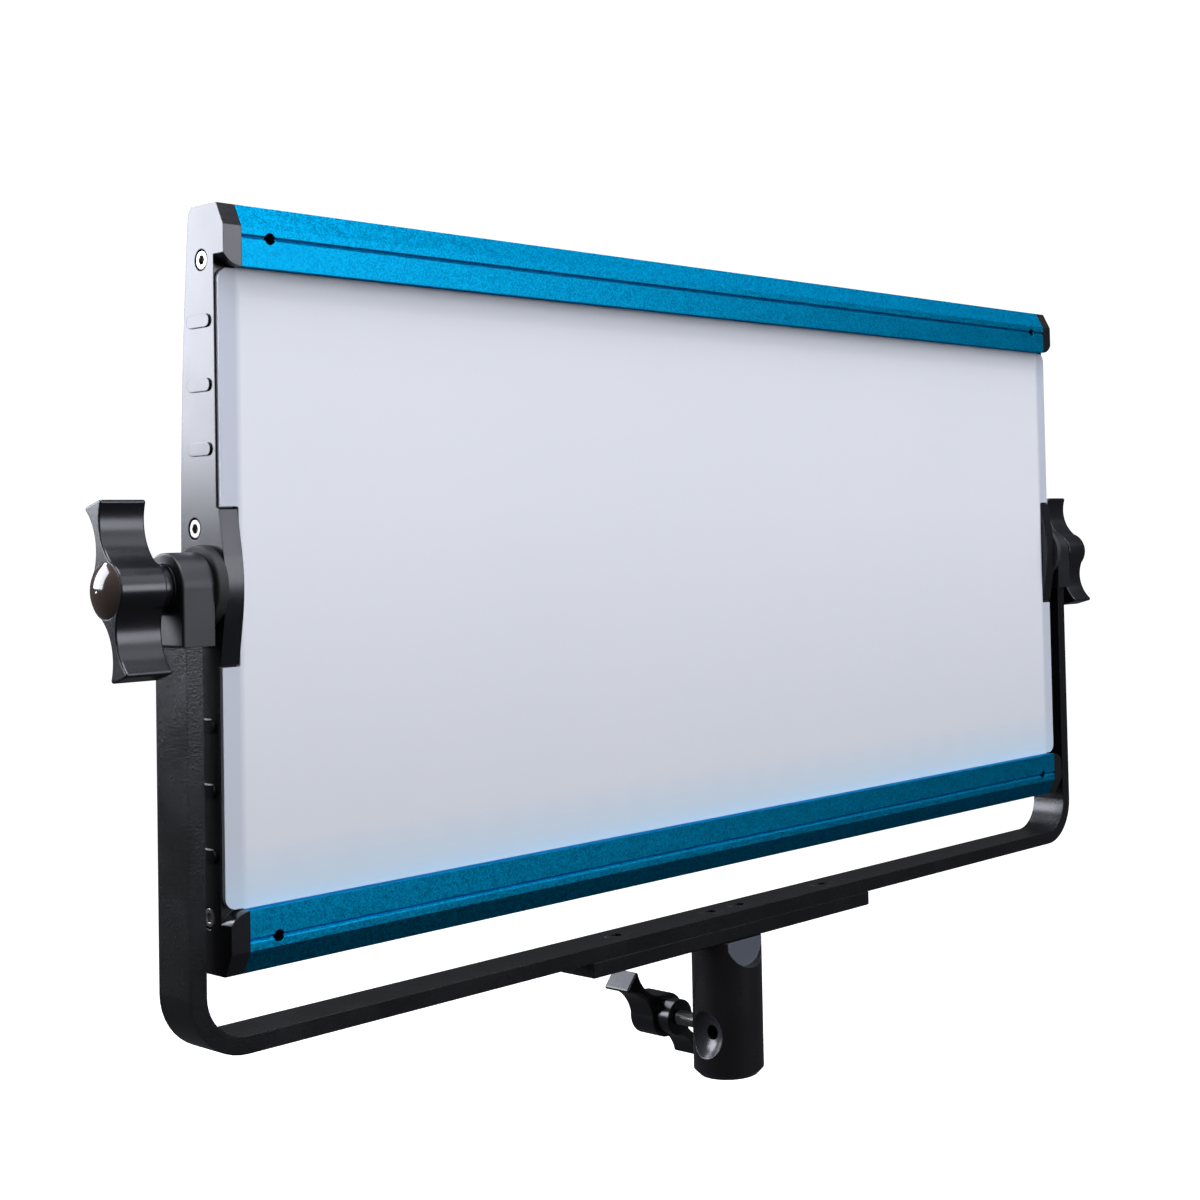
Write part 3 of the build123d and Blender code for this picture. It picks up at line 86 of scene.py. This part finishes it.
softbox("front_low_softbox", (0.65, -2.1, 0.58), 1.3, 0.8, 6.6)
softbox("front_high_softbox", (-0.45, -1.9, 1.85), 1.8, 1.3, 3.2)
softbox("back_left_softbox", (-1.5, 1.75, 0.98), 1.7, 1.4, 12.0)
softbox("top_softbox", (0.0, -0.4, 2.4), 1.4, 1.4, 13.0)
softbox("upper_right_softbox", (1.5, -1.5, 1.75), 1.6, 1.4, 2.2)
softbox("back_softbox", (-0.1, 2.2, 2.0), 1.8, 1.2, 5.0)

world = bpy.data.worlds.new("world")
world.use_nodes = True
sky = world.node_tree.nodes["Background"]
sky.inputs["Color"].default_value = SKY_COLOUR
sky.inputs["Strength"].default_value = SKY_STRENGTH
bpy.context.scene.world = world


# ---------- floor and backdrop ----------
FLOOR_Z = -0.75
STAGE_RADIUS = 12.0
STAGE_GLOW = 1.0
BACKDROP_SIDES = 48
BACKDROP_LEVELS = 12


def stage_material(name):
    """Plain pale paint with a little light of its own, so that it stays pale in the shade."""
    material = bpy.data.materials.new(name)
    material.use_nodes = True
    shader = material.node_tree.nodes["Principled BSDF"]
    shader.inputs["Base Color"].default_value = (0.9, 0.9, 0.9, 1.0)
    shader.inputs["Roughness"].default_value = 0.9
    shader.inputs["Specular IOR Level"].default_value = 0.0
    shader.inputs["Emission Color"].default_value = (1.0, 1.0, 1.0, 1.0)
    shader.inputs["Emission Strength"].default_value = STAGE_GLOW
    return material


def stage_piece(name, vertices, faces):
    """A floor or backdrop mesh that the object neither reflects nor is lit by."""
    mesh = bpy.data.meshes.new(name)
    mesh.from_pydata(vertices, [], faces)
    mesh.materials.append(stage_material(name))
    piece = bpy.data.objects.new(name, mesh)
    piece.visible_diffuse = False
    piece.visible_glossy = False
    piece.visible_shadow = False
    bpy.context.scene.collection.objects.link(piece)


rim = [2 * math.pi * k / BACKDROP_SIDES for k in range(BACKDROP_SIDES)]
floor_ring = [(STAGE_RADIUS * math.cos(a), STAGE_RADIUS * math.sin(a), FLOOR_Z) for a in rim]
stage_piece("floor", floor_ring, [tuple(range(BACKDROP_SIDES))])

dome_vertices = []
for level in range(BACKDROP_LEVELS):
    rise = math.pi / 2 * level / BACKDROP_LEVELS
    for a in rim:
        across = STAGE_RADIUS * math.cos(rise)
        up = STAGE_RADIUS * math.sin(rise)
        dome_vertices.append((across * math.cos(a), across * math.sin(a), FLOOR_Z + up))
dome_faces = []
for level in range(BACKDROP_LEVELS - 1):
    for k in range(BACKDROP_SIDES):
        low = level * BACKDROP_SIDES + k
        low_next = level * BACKDROP_SIDES + (k + 1) % BACKDROP_SIDES
        dome_faces.append((low_next, low, low + BACKDROP_SIDES, low_next + BACKDROP_SIDES))
dome_faces.append(tuple(reversed(range(len(dome_vertices) - BACKDROP_SIDES, len(dome_vertices)))))
stage_piece("backdrop", dome_vertices, dome_faces)


# ---------- finishes ----------
EDGE_RADIUS = 0.45 * MM


class Surface:
    """One material, with short calls that add nodes to it. Lengths are in metres."""

    def __init__(self, name, colour, roughness, metallic=0.0, coat=0.0):
        self.material = bpy.data.materials.new(name)
        self.material.use_nodes = True
        self.tree = self.material.node_tree
        self.shader = self.tree.nodes["Principled BSDF"]
        self.shader.inputs["Base Color"].default_value = (*colour, 1.0)
        self.shader.inputs["Roughness"].default_value = roughness
        self.shader.inputs["Metallic"].default_value = metallic
        self.shader.inputs["Coat Weight"].default_value = coat
        self.place = self.add("TexCoord").outputs["Object"]

    def add(self, kind, **inputs):
        """A new node; its inputs are named with _ for a space, and take a value or a socket."""
        node = self.tree.nodes.new("ShaderNode" + kind)
        for name, value in inputs.items():
            self.put(node.inputs[name.replace("_", " ")], value)
        return node

    def put(self, socket, value):
        """Joins a socket to an output, or sets its value."""
        if isinstance(value, bpy.types.NodeSocket):
            self.tree.links.new(value, socket)
        else:
            socket.default_value = value

    def noise(self, size, detail=2.0):
        """Soft random values whose features are about size across."""
        return self.add("TexNoise", Vector=self.place, Scale=1 / size, Detail=detail).outputs["Fac"]

    def cells(self, size):
        """A random value for each grain of about size."""
        grains = self.add("TexVoronoi", Vector=self.place, Scale=1 / size)
        return self.add("SeparateColor", Color=grains.outputs["Color"]).outputs["Red"]

    def calc(self, operation, first, second=0.0):
        """One sum on values or sockets."""
        node = self.tree.nodes.new("ShaderNodeMath")
        node.operation = operation
        self.put(node.inputs[0], first)
        self.put(node.inputs[1], second)
        return node.outputs["Value"]

    def spread(self, value, start, end, low, high):
        """Maps start..end to low..high, and holds it there outside."""
        node = self.add("MapRange", Value=value)
        for name, number in zip(("From Min", "From Max", "To Min", "To Max"), (start, end, low, high)):
            node.inputs[name].default_value = number
        return node.outputs["Result"]

    def blend(self, factor, first, second):
        """Goes from the first colour to the second as factor goes from 0 to 1."""
        node = self.add("MixRGB", Fac=factor)
        self.put(node.inputs["Color1"], first if not isinstance(first, tuple) else (*first, 1.0))
        self.put(node.inputs["Color2"], second if not isinstance(second, tuple) else (*second, 1.0))
        return node.outputs["Color"]

    def axes(self):
        """The X, Y and Z of the place on the surface."""
        split = self.add("SeparateXYZ", Vector=self.place)
        return split.outputs["X"], split.outputs["Y"], split.outputs["Z"]

    def distance(self, *offsets):
        """How far a place is from a point, given its offset along each axis."""
        total = 0.0
        for offset in offsets:
            total = self.calc("ADD", total, self.calc("MULTIPLY", offset, offset))
        return self.calc("SQRT", total)

    def close_to(self, value, target, margin):
        """One where value is within margin of target, nought elsewhere."""
        test = self.calc("COMPARE", value, target)
        test.node.inputs[2].default_value = margin
        return test

    def rounded(self, radius=EDGE_RADIUS):
        """The surface normal with its edges softened."""
        bevel = self.add("Bevel", Radius=radius)
        bevel.samples = 3
        return bevel.outputs["Normal"]

    def edges(self, soft_normal):
        """1 along the edges and 0 on open faces."""
        true_normal = self.add("NewGeometry").outputs["Normal"]
        product = self.tree.nodes.new("ShaderNodeVectorMath")
        product.operation = "DOT_PRODUCT"
        self.put(product.inputs[0], soft_normal)
        self.put(product.inputs[1], true_normal)
        return self.spread(product.outputs["Value"], 0.99, 0.86, 0.0, 1.0)

    def bump(self, height, depth, normal=None):
        """Relief of the given depth, on top of a normal if one is given."""
        node = self.add("Bump", Height=height, Distance=depth)
        if normal is not None:
            self.put(node.inputs["Normal"], normal)
        return node.outputs["Normal"]


def finish(name, colour, roughness, metallic=0.0, coat=0.0, grain=(0.3, 0.004), tone=0.08, wear=0.2):
    """A moulded, painted or machined surface: uneven tone and gloss, surface grain and rubbed edges.

    grain is its size and depth in mm, tone is how far the colour varies, wear how light edges get.
    """
    surface = Surface(name, colour, roughness, metallic, coat)
    patches = surface.noise(18 * MM, detail=4.0)
    grains = surface.noise(grain[0] * MM)
    soft_normal = surface.rounded()
    edges = surface.edges(soft_normal)
    rubbed = surface.calc("MULTIPLY", edges, surface.spread(surface.noise(3 * MM), 0.35, 0.7, 0.2, wear))
    dark = tuple(value * (1 - tone) for value in colour)
    light = tuple(value * (1 + tone) for value in colour)
    worn = tuple(min(1.0, value * 1.6 + 0.02) for value in colour)
    body_colour = surface.blend(surface.spread(patches, 0.3, 0.7, 0.0, 1.0), dark, light)
    surface.put(surface.shader.inputs["Base Color"], surface.blend(rubbed, body_colour, worn))
    smooth, dull = roughness * 0.88, roughness * 1.12
    surface.put(surface.shader.inputs["Roughness"], surface.spread(patches, 0.3, 0.7, smooth, dull))
    surface.put(surface.shader.inputs["Normal"], surface.bump(grains, grain[1] * MM, soft_normal))
    return surface


def sparkling_blue():
    """Blue metallic coat over blasted metal: each grain leans and shines a little differently."""
    surface = Surface("blue_anodised", (0.001, 0.22, 0.40), 0.43, metallic=1.0)
    surface.shader.inputs["Specular Tint"].default_value = (0.02, 0.45, 0.9, 1.0)
    grains = surface.cells(0.55 * MM)
    fine = surface.noise(0.5 * MM, detail=3.0)
    soft_normal = surface.rounded(0.3 * MM)
    edges = surface.edges(soft_normal)
    grain_colour = surface.blend(grains, (0.001, 0.14, 0.27), (0.002, 0.30, 0.52))
    surface.put(surface.shader.inputs["Base Color"], surface.blend(edges, grain_colour, (0.01, 0.30, 0.52)))
    surface.put(surface.shader.inputs["Roughness"], surface.spread(grains, 0.0, 1.0, 0.36, 0.50))
    surface.put(surface.shader.inputs["Normal"], surface.bump(fine, 0.05 * MM, soft_normal))
    return surface


DIFFUSER_SIDE = 249.3 * MM
DIFFUSER_LOW = 109.7 * MM
DIFFUSER_HIGH = 318.3 * MM
SIDE_SHADE = (6.0 * MM, 8.5 * MM)
TOP_SHADE = 10 * MM
PAINTED_SHADE_BELOW = 240 * MM
RAIL_BOUNCE_REACH = 22 * MM
LEDS_SHOW = (112 * MM, 150 * MM)
LED_PITCH = (23.5 * MM, 20 * MM)
LED_FIRST = (11.75 * MM, 224 * MM)


def opal_sheet():
    """Opal acrylic: painted shade where the frame shades its rim, painted shade towards the bottom, painted
    blue light bounced off the lower rail, and the lights behind it just showing low down as painted dark
    dots.
    """
    surface = Surface("diffuser_white", (0.72, 0.72, 0.72), 0.42)
    across, _, up = surface.axes()
    clouds = surface.noise(90 * MM, detail=2.0)
    base = surface.blend(clouds, (0.70, 0.705, 0.71), (0.73, 0.73, 0.73))

    # Painted shade along the sides and under the top rail, where the frame shades the sheet.
    from_side = surface.calc("SUBTRACT", DIFFUSER_SIDE, surface.calc("ABSOLUTE", across))
    side_shade = surface.spread(from_side, *SIDE_SHADE, 0.75, 0.0)
    top_shade = surface.spread(up, DIFFUSER_HIGH - TOP_SHADE, DIFFUSER_HIGH, 0.0, 0.5)
    shaded = surface.blend(surface.calc("MAXIMUM", side_shade, top_shade), base, (0.42, 0.44, 0.50))

    # Painted shade: the sheet grows darker towards the bottom.
    painted_low_shade = surface.spread(up, DIFFUSER_LOW, PAINTED_SHADE_BELOW, 0.40, 0.0)
    low_shaded = surface.blend(painted_low_shade, shaded, (0.50, 0.51, 0.54))
    # Painted blue light bounced off the lower rail onto the sheet.
    rail_bounce = surface.spread(up, DIFFUSER_LOW, DIFFUSER_LOW + RAIL_BOUNCE_REACH, 0.60, 0.0)
    with_rail_bounce = surface.blend(rail_bounce, low_shaded, (0.42, 0.60, 0.70))

    # Painted shade: faint darker dots low down, where the lights behind the sheet show through.
    waves = []
    for place, first, pitch in zip((across, up), LED_FIRST, LED_PITCH):
        phase = surface.calc("MULTIPLY", surface.calc("SUBTRACT", place, first), 2 * math.pi / pitch)
        waves.append(surface.spread(surface.calc("COSINE", phase), -1.0, 1.0, 0.0, 1.0))
    led_shadow_dots = surface.calc("MULTIPLY", *waves)
    led_shadow_share = surface.calc("MULTIPLY", led_shadow_dots, surface.spread(up, *LEDS_SHOW, 0.14, 0.0))
    surface.put(surface.shader.inputs["Base Color"], surface.blend(led_shadow_share, with_rail_bounce, (0.50, 0.52, 0.56)))
    surface.put(surface.shader.inputs["Normal"], surface.bump(surface.noise(0.35 * MM), 0.004 * MM))
    return surface


SCOOP_FLOOR = -10.5 * MM
SCOOP_CENTRE_Z = 57 * MM
SCOOP_RADIUS = 11.1 * MM
BOWL_CENTRE_X = -20.9 * MM
BOWL_CENTRE_Z = 18.6 * MM
BOWL_RADIUS = 11.5 * MM
CUTTER_STEP = 0.5 * MM
FACE_MARGIN = 0.1 * MM


def cutter_rings(surface, radius, dark, light):
    """Fine rings left by a cutter, at a radius from its centre."""
    wave = surface.calc("SINE", surface.calc("MULTIPLY", radius, 2 * math.pi / CUTTER_STEP))
    return surface.blend(surface.spread(wave, -1.0, 1.0, 0.0, 1.0), dark, light)


def machined_receiver():
    """Satin black casting whose milled scoop and turned side bowl are bare and lighter."""
    surface = finish("satin_black_metal", (0.006, 0.0055, 0.006), 0.27, grain=(0.5, 0.006))
    across, forward, up = surface.axes()
    painted = surface.shader.inputs["Base Color"].links[0].from_socket

    scoop_radius = surface.distance(across, surface.calc("SUBTRACT", up, SCOOP_CENTRE_Z))
    milled = cutter_rings(surface, scoop_radius, (0.045, 0.050, 0.060), (0.110, 0.120, 0.140))
    on_floor = surface.close_to(forward, SCOOP_FLOOR, FACE_MARGIN)
    in_scoop = surface.calc("MULTIPLY", on_floor, surface.calc("LESS_THAN", scoop_radius, SCOOP_RADIUS))
    with_scoop = surface.blend(in_scoop, painted, milled)

    bowl_x = surface.calc("SUBTRACT", across, BOWL_CENTRE_X)
    bowl_z = surface.calc("SUBTRACT", up, BOWL_CENTRE_Z)
    turned = cutter_rings(
        surface, surface.distance(forward, bowl_z), (0.010, 0.010, 0.012), (0.045, 0.045, 0.052)
    )
    in_bowl = surface.close_to(surface.distance(bowl_x, forward, bowl_z), BOWL_RADIUS, FACE_MARGIN)
    surface.put(surface.shader.inputs["Base Color"], surface.blend(in_bowl, with_scoop, turned))
    return surface


BOARD_BACK_Y = 4.2 * MM


def metal_core_board():
    """White solder mask in front, bare aluminium behind."""
    surface = finish("board_white", (0.80, 0.80, 0.78), 0.34, tone=0.03, wear=0.1)
    _, forward, _ = surface.axes()
    behind = surface.calc("GREATER_THAN", forward, BOARD_BACK_Y)
    mask_colour = surface.shader.inputs["Base Color"].links[0].from_socket
    surface.put(surface.shader.inputs["Base Color"], surface.blend(behind, mask_colour, (0.10, 0.10, 0.11)))
    return surface


def printed_board():
    """Green solder mask over copper tracks."""
    surface = finish("pcb_green", (0.012, 0.11, 0.05), 0.32, grain=(0.6, 0.003))
    tracks = surface.add("TexBrick", Vector=surface.place, Scale=1.0)
    tracks.inputs["Color1"].default_value = (0.010, 0.09, 0.04, 1.0)
    tracks.inputs["Color2"].default_value = (0.014, 0.12, 0.055, 1.0)
    tracks.inputs["Mortar"].default_value = (0.03, 0.20, 0.09, 1.0)
    tracks.inputs["Brick Width"].default_value = 6 * MM
    tracks.inputs["Row Height"].default_value = 1.6 * MM
    tracks.inputs["Mortar Size"].default_value = 0.25 * MM
    turned_place = surface.add("Mapping", Vector=surface.place, Rotation=(math.radians(90), 0.0, 0.0))
    surface.put(tracks.inputs["Vector"], turned_place.outputs["Vector"])
    surface.put(surface.shader.inputs["Base Color"], tracks.outputs["Color"])
    return surface


def ribbon():
    """Flat cable: grey cores side by side, with painted shade in the grooves between them."""
    surface = finish("ribbon_grey", (0.42, 0.43, 0.45), 0.5)
    across, _, _ = surface.axes()
    # Painted shade in the grooves between the cores.
    wave = surface.calc("SINE", surface.calc("MULTIPLY", across, 2 * math.pi / (1.27 * MM)))
    cores_with_groove_shade = surface.blend(surface.spread(wave, -0.4, 0.6, 0.0, 1.0), (0.2, 0.2, 0.22), (0.5, 0.51, 0.53))
    surface.put(surface.shader.inputs["Base Color"], cores_with_groove_shade)
    return surface


def smoked_glass():
    """Clear dark window with faint smears."""
    surface = Surface("display_glass", (0.55, 0.58, 0.60), 0.04)
    surface.shader.inputs["Transmission Weight"].default_value = 1.0
    surface.shader.inputs["IOR"].default_value = 1.45
    smears = surface.noise(8 * MM, detail=4.0)
    surface.put(surface.shader.inputs["Roughness"], surface.spread(smears, 0.4, 0.75, 0.02, 0.10))
    return surface


def lit_figures():
    """Self-lit figures on the display."""
    surface = Surface("lit_figures", (0.6, 0.85, 1.0), 0.5)
    surface.shader.inputs["Emission Color"].default_value = (0.55, 0.85, 1.0, 1.0)
    surface.shader.inputs["Emission Strength"].default_value = 1.6
    surface.put(surface.shader.inputs["Roughness"], surface.spread(surface.noise(1 * MM), 0.3, 0.7, 0.4, 0.6))
    return surface


LOOKS = {
    "black_plastic": finish("black_plastic", (0.006, 0.006, 0.008), 0.23, grain=(0.35, 0.005)),
    "black_paint": finish("black_paint", (0.004, 0.004, 0.005), 0.26, grain=(0.75, 0.09), wear=0.1),
    "steel": finish("steel", (0.33, 0.32, 0.31), 0.30, metallic=1.0, grain=(0.25, 0.002), tone=0.08),
    "nylon": finish("nylon", (0.72, 0.70, 0.65), 0.45),
    "white_plastic": finish("white_plastic", (0.74, 0.75, 0.76), 0.42, tone=0.04, wear=0.1),
    "board_white": metal_core_board(),
    "led_yellow": finish("led_yellow", (0.85, 0.60, 0.10), 0.25, coat=0.5, tone=0.1, wear=0.2),
    "rubber_black": finish("rubber_black", (0.014, 0.014, 0.014), 0.72, grain=(0.6, 0.03)),
    "gloss_cap": finish("gloss_cap", (0.060, 0.042, 0.034), 0.10, coat=0.3, grain=(2.0, 0.002), wear=0.2),
    "aluminium": finish("aluminium", (0.74, 0.75, 0.77), 0.34, metallic=1.0, grain=(0.2, 0.004), tone=0.06),
    "brass": finish("brass", (0.78, 0.56, 0.26), 0.26, metallic=1.0, grain=(0.2, 0.002), tone=0.1),
    "display_grey": finish("display_grey", (0.012, 0.018, 0.022), 0.30, wear=0.1),
    "button_grey": finish("button_grey", (0.05, 0.05, 0.055), 0.45, grain=(0.3, 0.01)),
    "component_dark": finish("component_dark", (0.022, 0.022, 0.024), 0.42, grain=(0.4, 0.01)),
    "blue_anodised": sparkling_blue(),
    "diffuser_white": opal_sheet(),
    "satin_black_metal": machined_receiver(),
    "pcb_green": printed_board(),
    "ribbon_grey": ribbon(),
    "display_glass": smoked_glass(),
}
WHITE_PRINT = finish("white_print", (0.78, 0.79, 0.80), 0.5, grain=(0.2, 0.004), tone=0.05, wear=0.1)
LIT_FIGURES = lit_figures()
BLOCK_PLASTIC = finish("block_plastic", (0.004, 0.004, 0.0055), 0.42, grain=(0.6, 0.02))
DULLER_NODES = ("left_arm_block", "right_arm_block")

for name, node in nodes.items():
    for holder in node.material_slots:
        look = BLOCK_PLASTIC if name in DULLER_NODES else LOOKS[holder.material.name]
        holder.material = look.material


# ---------- pieces that are finer than their CAD nodes ----------
def make_piece(name, vertices, faces, look, body, slot_name, smooth_angle=30.0):
    """A mesh piece with its finish, riding on a body."""
    mesh = bpy.data.meshes.new(name)
    mesh.from_pydata(vertices, [], faces)
    mesh.materials.append(look.material)
    mesh.shade_smooth()
    mesh.set_sharp_from_angle(angle=math.radians(smooth_angle))
    piece = bpy.data.objects.new(name, mesh)
    bpy.context.scene.collection.objects.link(piece)
    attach(piece, body)
    return piece


def turned_mesh(x, z, rings, sides):
    """Vertices and faces of a closed form round a +Y axis; a ring is its y and its radius by angle."""
    vertices = []
    for y, radius_at in rings:
        for k in range(sides):
            angle = 2 * math.pi * k / sides
            radius = radius_at(angle)
            vertices.append((x + radius * math.cos(angle), y, z + radius * math.sin(angle)))
    faces = []
    for ring in range(len(rings) - 1):
        for k in range(sides):
            near = ring * sides + k
            beside = ring * sides + (k + 1) % sides
            faces.append((near, near + sides, beside + sides, beside))
    faces.append(tuple(range(sides)))
    faces.append(tuple(reversed(range(len(vertices) - sides, len(vertices)))))
    return vertices, faces


def round_ring(radius):
    """The radius of a plain ring."""
    return lambda angle: radius


FLUTES = 30
DIAL_SIDES = FLUTES * 8
# Height above the dial's foot, radius and flute depth, in mm, from the foot to the dished top.
DIAL_PROFILE = (
    (0.0, 10.5, 0.0), (0.3, 10.9, 0.0), (1.9, 10.9, 0.0), (2.2, 10.6, 0.0), (2.5, 10.4, 0.0),
    (3.0, 10.4, 0.55), (12.3, 10.1, 0.55), (13.0, 9.9, 0.2), (13.6, 9.4, 0.0), (13.9, 8.9, 0.0),
    (13.9, 8.3, 0.0), (13.4, 7.8, 0.0), (13.3, 7.2, 0.0),
)


def fluted_ring(radius, depth):
    """The radius of a ring with finger flutes."""
    return lambda angle: radius - depth * abs(math.sin(FLUTES * angle / 2)) ** 0.7


def bar(x, z, y, angle, inner, outer, width, height):
    """Vertices and faces of a raised mark that points out from (x, z).

    Its angle is measured clockwise from straight up, seen from the back.
    """
    out = Vector((-math.sin(angle), 0.0, math.cos(angle)))
    side = Vector((math.cos(angle), 0.0, math.sin(angle))) * width / 2
    foot = [(inner, -1), (outer, -1), (outer, 1), (inner, 1)]
    vertices = []
    for level, shrink in ((0.0, 1.0), (height, 0.8)):
        for reach, way in foot:
            spot = Vector((x, y + level, z)) + out * reach + side * way * shrink
            vertices.append(tuple(spot))
    faces = [(3, 2, 1, 0), (4, 5, 6, 7), (0, 1, 5, 4), (1, 2, 6, 5), (2, 3, 7, 6), (3, 0, 4, 7)]
    return vertices, faces


def join_meshes(parts):
    """One list of vertices and faces from several."""
    vertices, faces = [], []
    for part_vertices, part_faces in parts:
        offset = len(vertices)
        vertices += part_vertices
        faces += [tuple(index + offset for index in face) for face in part_faces]
    return vertices, faces


def lettering(name, text, size, centre, up, normal, look, body, depth=0.05 * MM):
    """Flat figures that stand on a face; up is their upright and normal points to the reader."""
    curve = bpy.data.curves.new(name, "FONT")
    curve.body = text
    curve.size = size
    curve.extrude = depth
    curve.align_x = "CENTER"
    curve.align_y = "CENTER"
    curve.materials.append(look.material)
    up, normal = Vector(up).normalized(), Vector(normal).normalized()
    piece = bpy.data.objects.new(name, curve)
    facing = Matrix((up.cross(normal), up, normal)).transposed().to_4x4()
    piece.matrix_world = Matrix.Translation(centre) @ facing
    bpy.context.scene.collection.objects.link(piece)
    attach(piece, body)


REAR = (0.0, 1.0, 0.0)
UPRIGHT = (0.0, 0.0, 1.0)
SCALE_SWEEP = math.radians(300)
SCALE_STEPS = 20
NUMBER_EVERY = 4
POD_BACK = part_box("control_housing")[1].y
PRINT_LIFT = 0.06 * MM
POINTER_RISE = 13.2 * MM
POINTER_REACH = (2.5 * MM, 7.6 * MM)
POINTER_WIDTH = 1.1 * MM
POINTER_HEIGHT = 0.3 * MM
# A tick starts at one radius; a long or short one has its own outer radius and width.
TICK_START = 12.4 * MM
LONG_TICK = (14.4 * MM, 0.35 * MM)
SHORT_TICK = (13.6 * MM, 0.22 * MM)
NUMBER_RADIUS = 16.6 * MM
NUMBER_SIZE = 2.9 * MM


def dial_scale(control, x, z):
    """Ticks and numbers printed round a dial."""
    ticks = []
    for step in range(SCALE_STEPS + 1):
        angle = SCALE_SWEEP * (step / SCALE_STEPS - 0.5)
        long_tick = step % NUMBER_EVERY == 0
        reach, width = LONG_TICK if long_tick else SHORT_TICK
        ticks.append(bar(x, z, POD_BACK, angle, TICK_START, reach, width, PRINT_LIFT))
        if long_tick:
            spot = (
                x - NUMBER_RADIUS * math.sin(angle),
                POD_BACK + PRINT_LIFT,
                z + NUMBER_RADIUS * math.cos(angle),
            )
            number = str(step // 2)
            lettering(
                f"{control}_number_{number}", number, NUMBER_SIZE, spot, UPRIGHT, REAR,
                WHITE_PRINT, "panel",
            )
    make_piece(control + "_scale", *join_meshes(ticks), WHITE_PRINT, "panel", "white_plastic")


for control in ("dimmer", "colour"):
    low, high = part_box(control + "_dial")
    dial_x, dial_z = (low.x + high.x) / 2, (low.z + high.z) / 2
    rings = [(low.y + rise * MM, fluted_ring(r * MM, cut * MM)) for rise, r, cut in DIAL_PROFILE]
    dial = make_piece(
        control + "_fluted_dial", *turned_mesh(dial_x, dial_z, rings, DIAL_SIDES),
        LOOKS["black_plastic"], control + "_knob", "black_plastic",
    )
    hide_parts(control + "_dial")
    pointer = bar(
        dial_x, dial_z, low.y + POINTER_RISE, 0.0, *POINTER_REACH, POINTER_WIDTH, POINTER_HEIGHT
    )
    make_piece(control + "_pointer", *pointer, WHITE_PRINT, control + "_knob", "white_plastic")
    dial_scale(control, dial_x, dial_z)

# The clamp screw gets a real thread where it shows between the receiver and its knob.
THREAD_PITCH = 1.0 * MM
THREAD_DEPTH = 0.55 * MM
THREAD_END = 29.0 * MM
THREAD_SIDES = 32
THREAD_STEPS_PER_TURN = 8
SHANK_RADIUS = 2.6 * MM
low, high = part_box("lock_screw")
screw_radius = (high.x - low.x) / 2
screw_z = (low.z + high.z) / 2


def thread_ring(y):
    """The radius of a threaded rod at one height."""
    def radius_at(angle):
        phase = (angle / (2 * math.pi) + y / THREAD_PITCH) % 1.0
        return screw_radius - THREAD_DEPTH * abs(2 * phase - 1)
    return radius_at


thread_step = THREAD_PITCH / THREAD_STEPS_PER_TURN
thread_count = int((THREAD_END - low.y) / thread_step)
thread_heights = [low.y + step * thread_step for step in range(thread_count)]
rings = [(y, thread_ring(y)) for y in thread_heights]
rings.append((THREAD_END, round_ring(SHANK_RADIUS)))
rings.append((high.y, round_ring(SHANK_RADIUS)))
thread = make_piece(
    "lock_screw_thread", *turned_mesh((low.x + high.x) / 2, screw_z, rings, THREAD_SIDES),
    LOOKS["steel"], "lock_knob", "steel", smooth_angle=60.0,
)
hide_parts("lock_screw")

# On and off marks on the two slopes of the rocker.
ROCKER_LEAN = math.radians(8)
ROCKER_SLOPE = 1.3 / 8.3
MARK_PLACE = 4.6 * MM
MARK_HEIGHT = 2.67 * MM
MARK_SIZE = 3.4 * MM
low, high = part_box("rocker_pin")
rocker_out = Vector((0.0, math.cos(ROCKER_LEAN), math.sin(ROCKER_LEAN)))
rocker_down = Vector((0.0, math.sin(ROCKER_LEAN), -math.cos(ROCKER_LEAN)))
for name, text, way in (("on_mark", "I", -1), ("off_mark", "O", 1)):
    slope = -way * ROCKER_SLOPE
    spot = (low + high) / 2 + rocker_out * MARK_HEIGHT + rocker_down * way * MARK_PLACE
    outward = rocker_out + slope * rocker_down
    upward = slope * rocker_out - rocker_down
    lettering(name, text, MARK_SIZE, spot, upward, outward, WHITE_PRINT, "power_switch")

# Display figures and a row of level bars, between the module's face and its window.
FIGURE_SIZE = 8.0 * MM
FIGURE_RISE = 2.5 * MM
FIGURE_LIFT = 0.15 * MM
LEVEL_BARS = 12
FIRST_LEVEL_BAR = 19.0 * MM
LEVEL_BAR_PITCH = 3.4 * MM
LEVEL_BAR_WIDTH = 2.4 * MM
LEVEL_BAR_SPAN = (-7.0 * MM, -4.6 * MM)
low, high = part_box("display_module")
figure_y = high.y + FIGURE_LIFT
middle_x = (low.x + high.x) / 2
middle_z = (low.z + high.z) / 2
for name, text, beside in (("level_figures", "100", 9.0 * MM), ("colour_figures", "5600", -13.0 * MM)):
    spot = (middle_x + beside, figure_y, middle_z + FIGURE_RISE)
    lettering(name, text, FIGURE_SIZE, spot, UPRIGHT, REAR, LIT_FIGURES, "panel")
bars = []
for step in range(LEVEL_BARS):
    x = middle_x + FIRST_LEVEL_BAR - LEVEL_BAR_PITCH * step
    bars.append(bar(x, middle_z, figure_y, 0.0, *LEVEL_BAR_SPAN, LEVEL_BAR_WIDTH, PRINT_LIFT))
make_piece("level_bars", *join_meshes(bars), LIT_FIGURES, "panel", "display_grey")
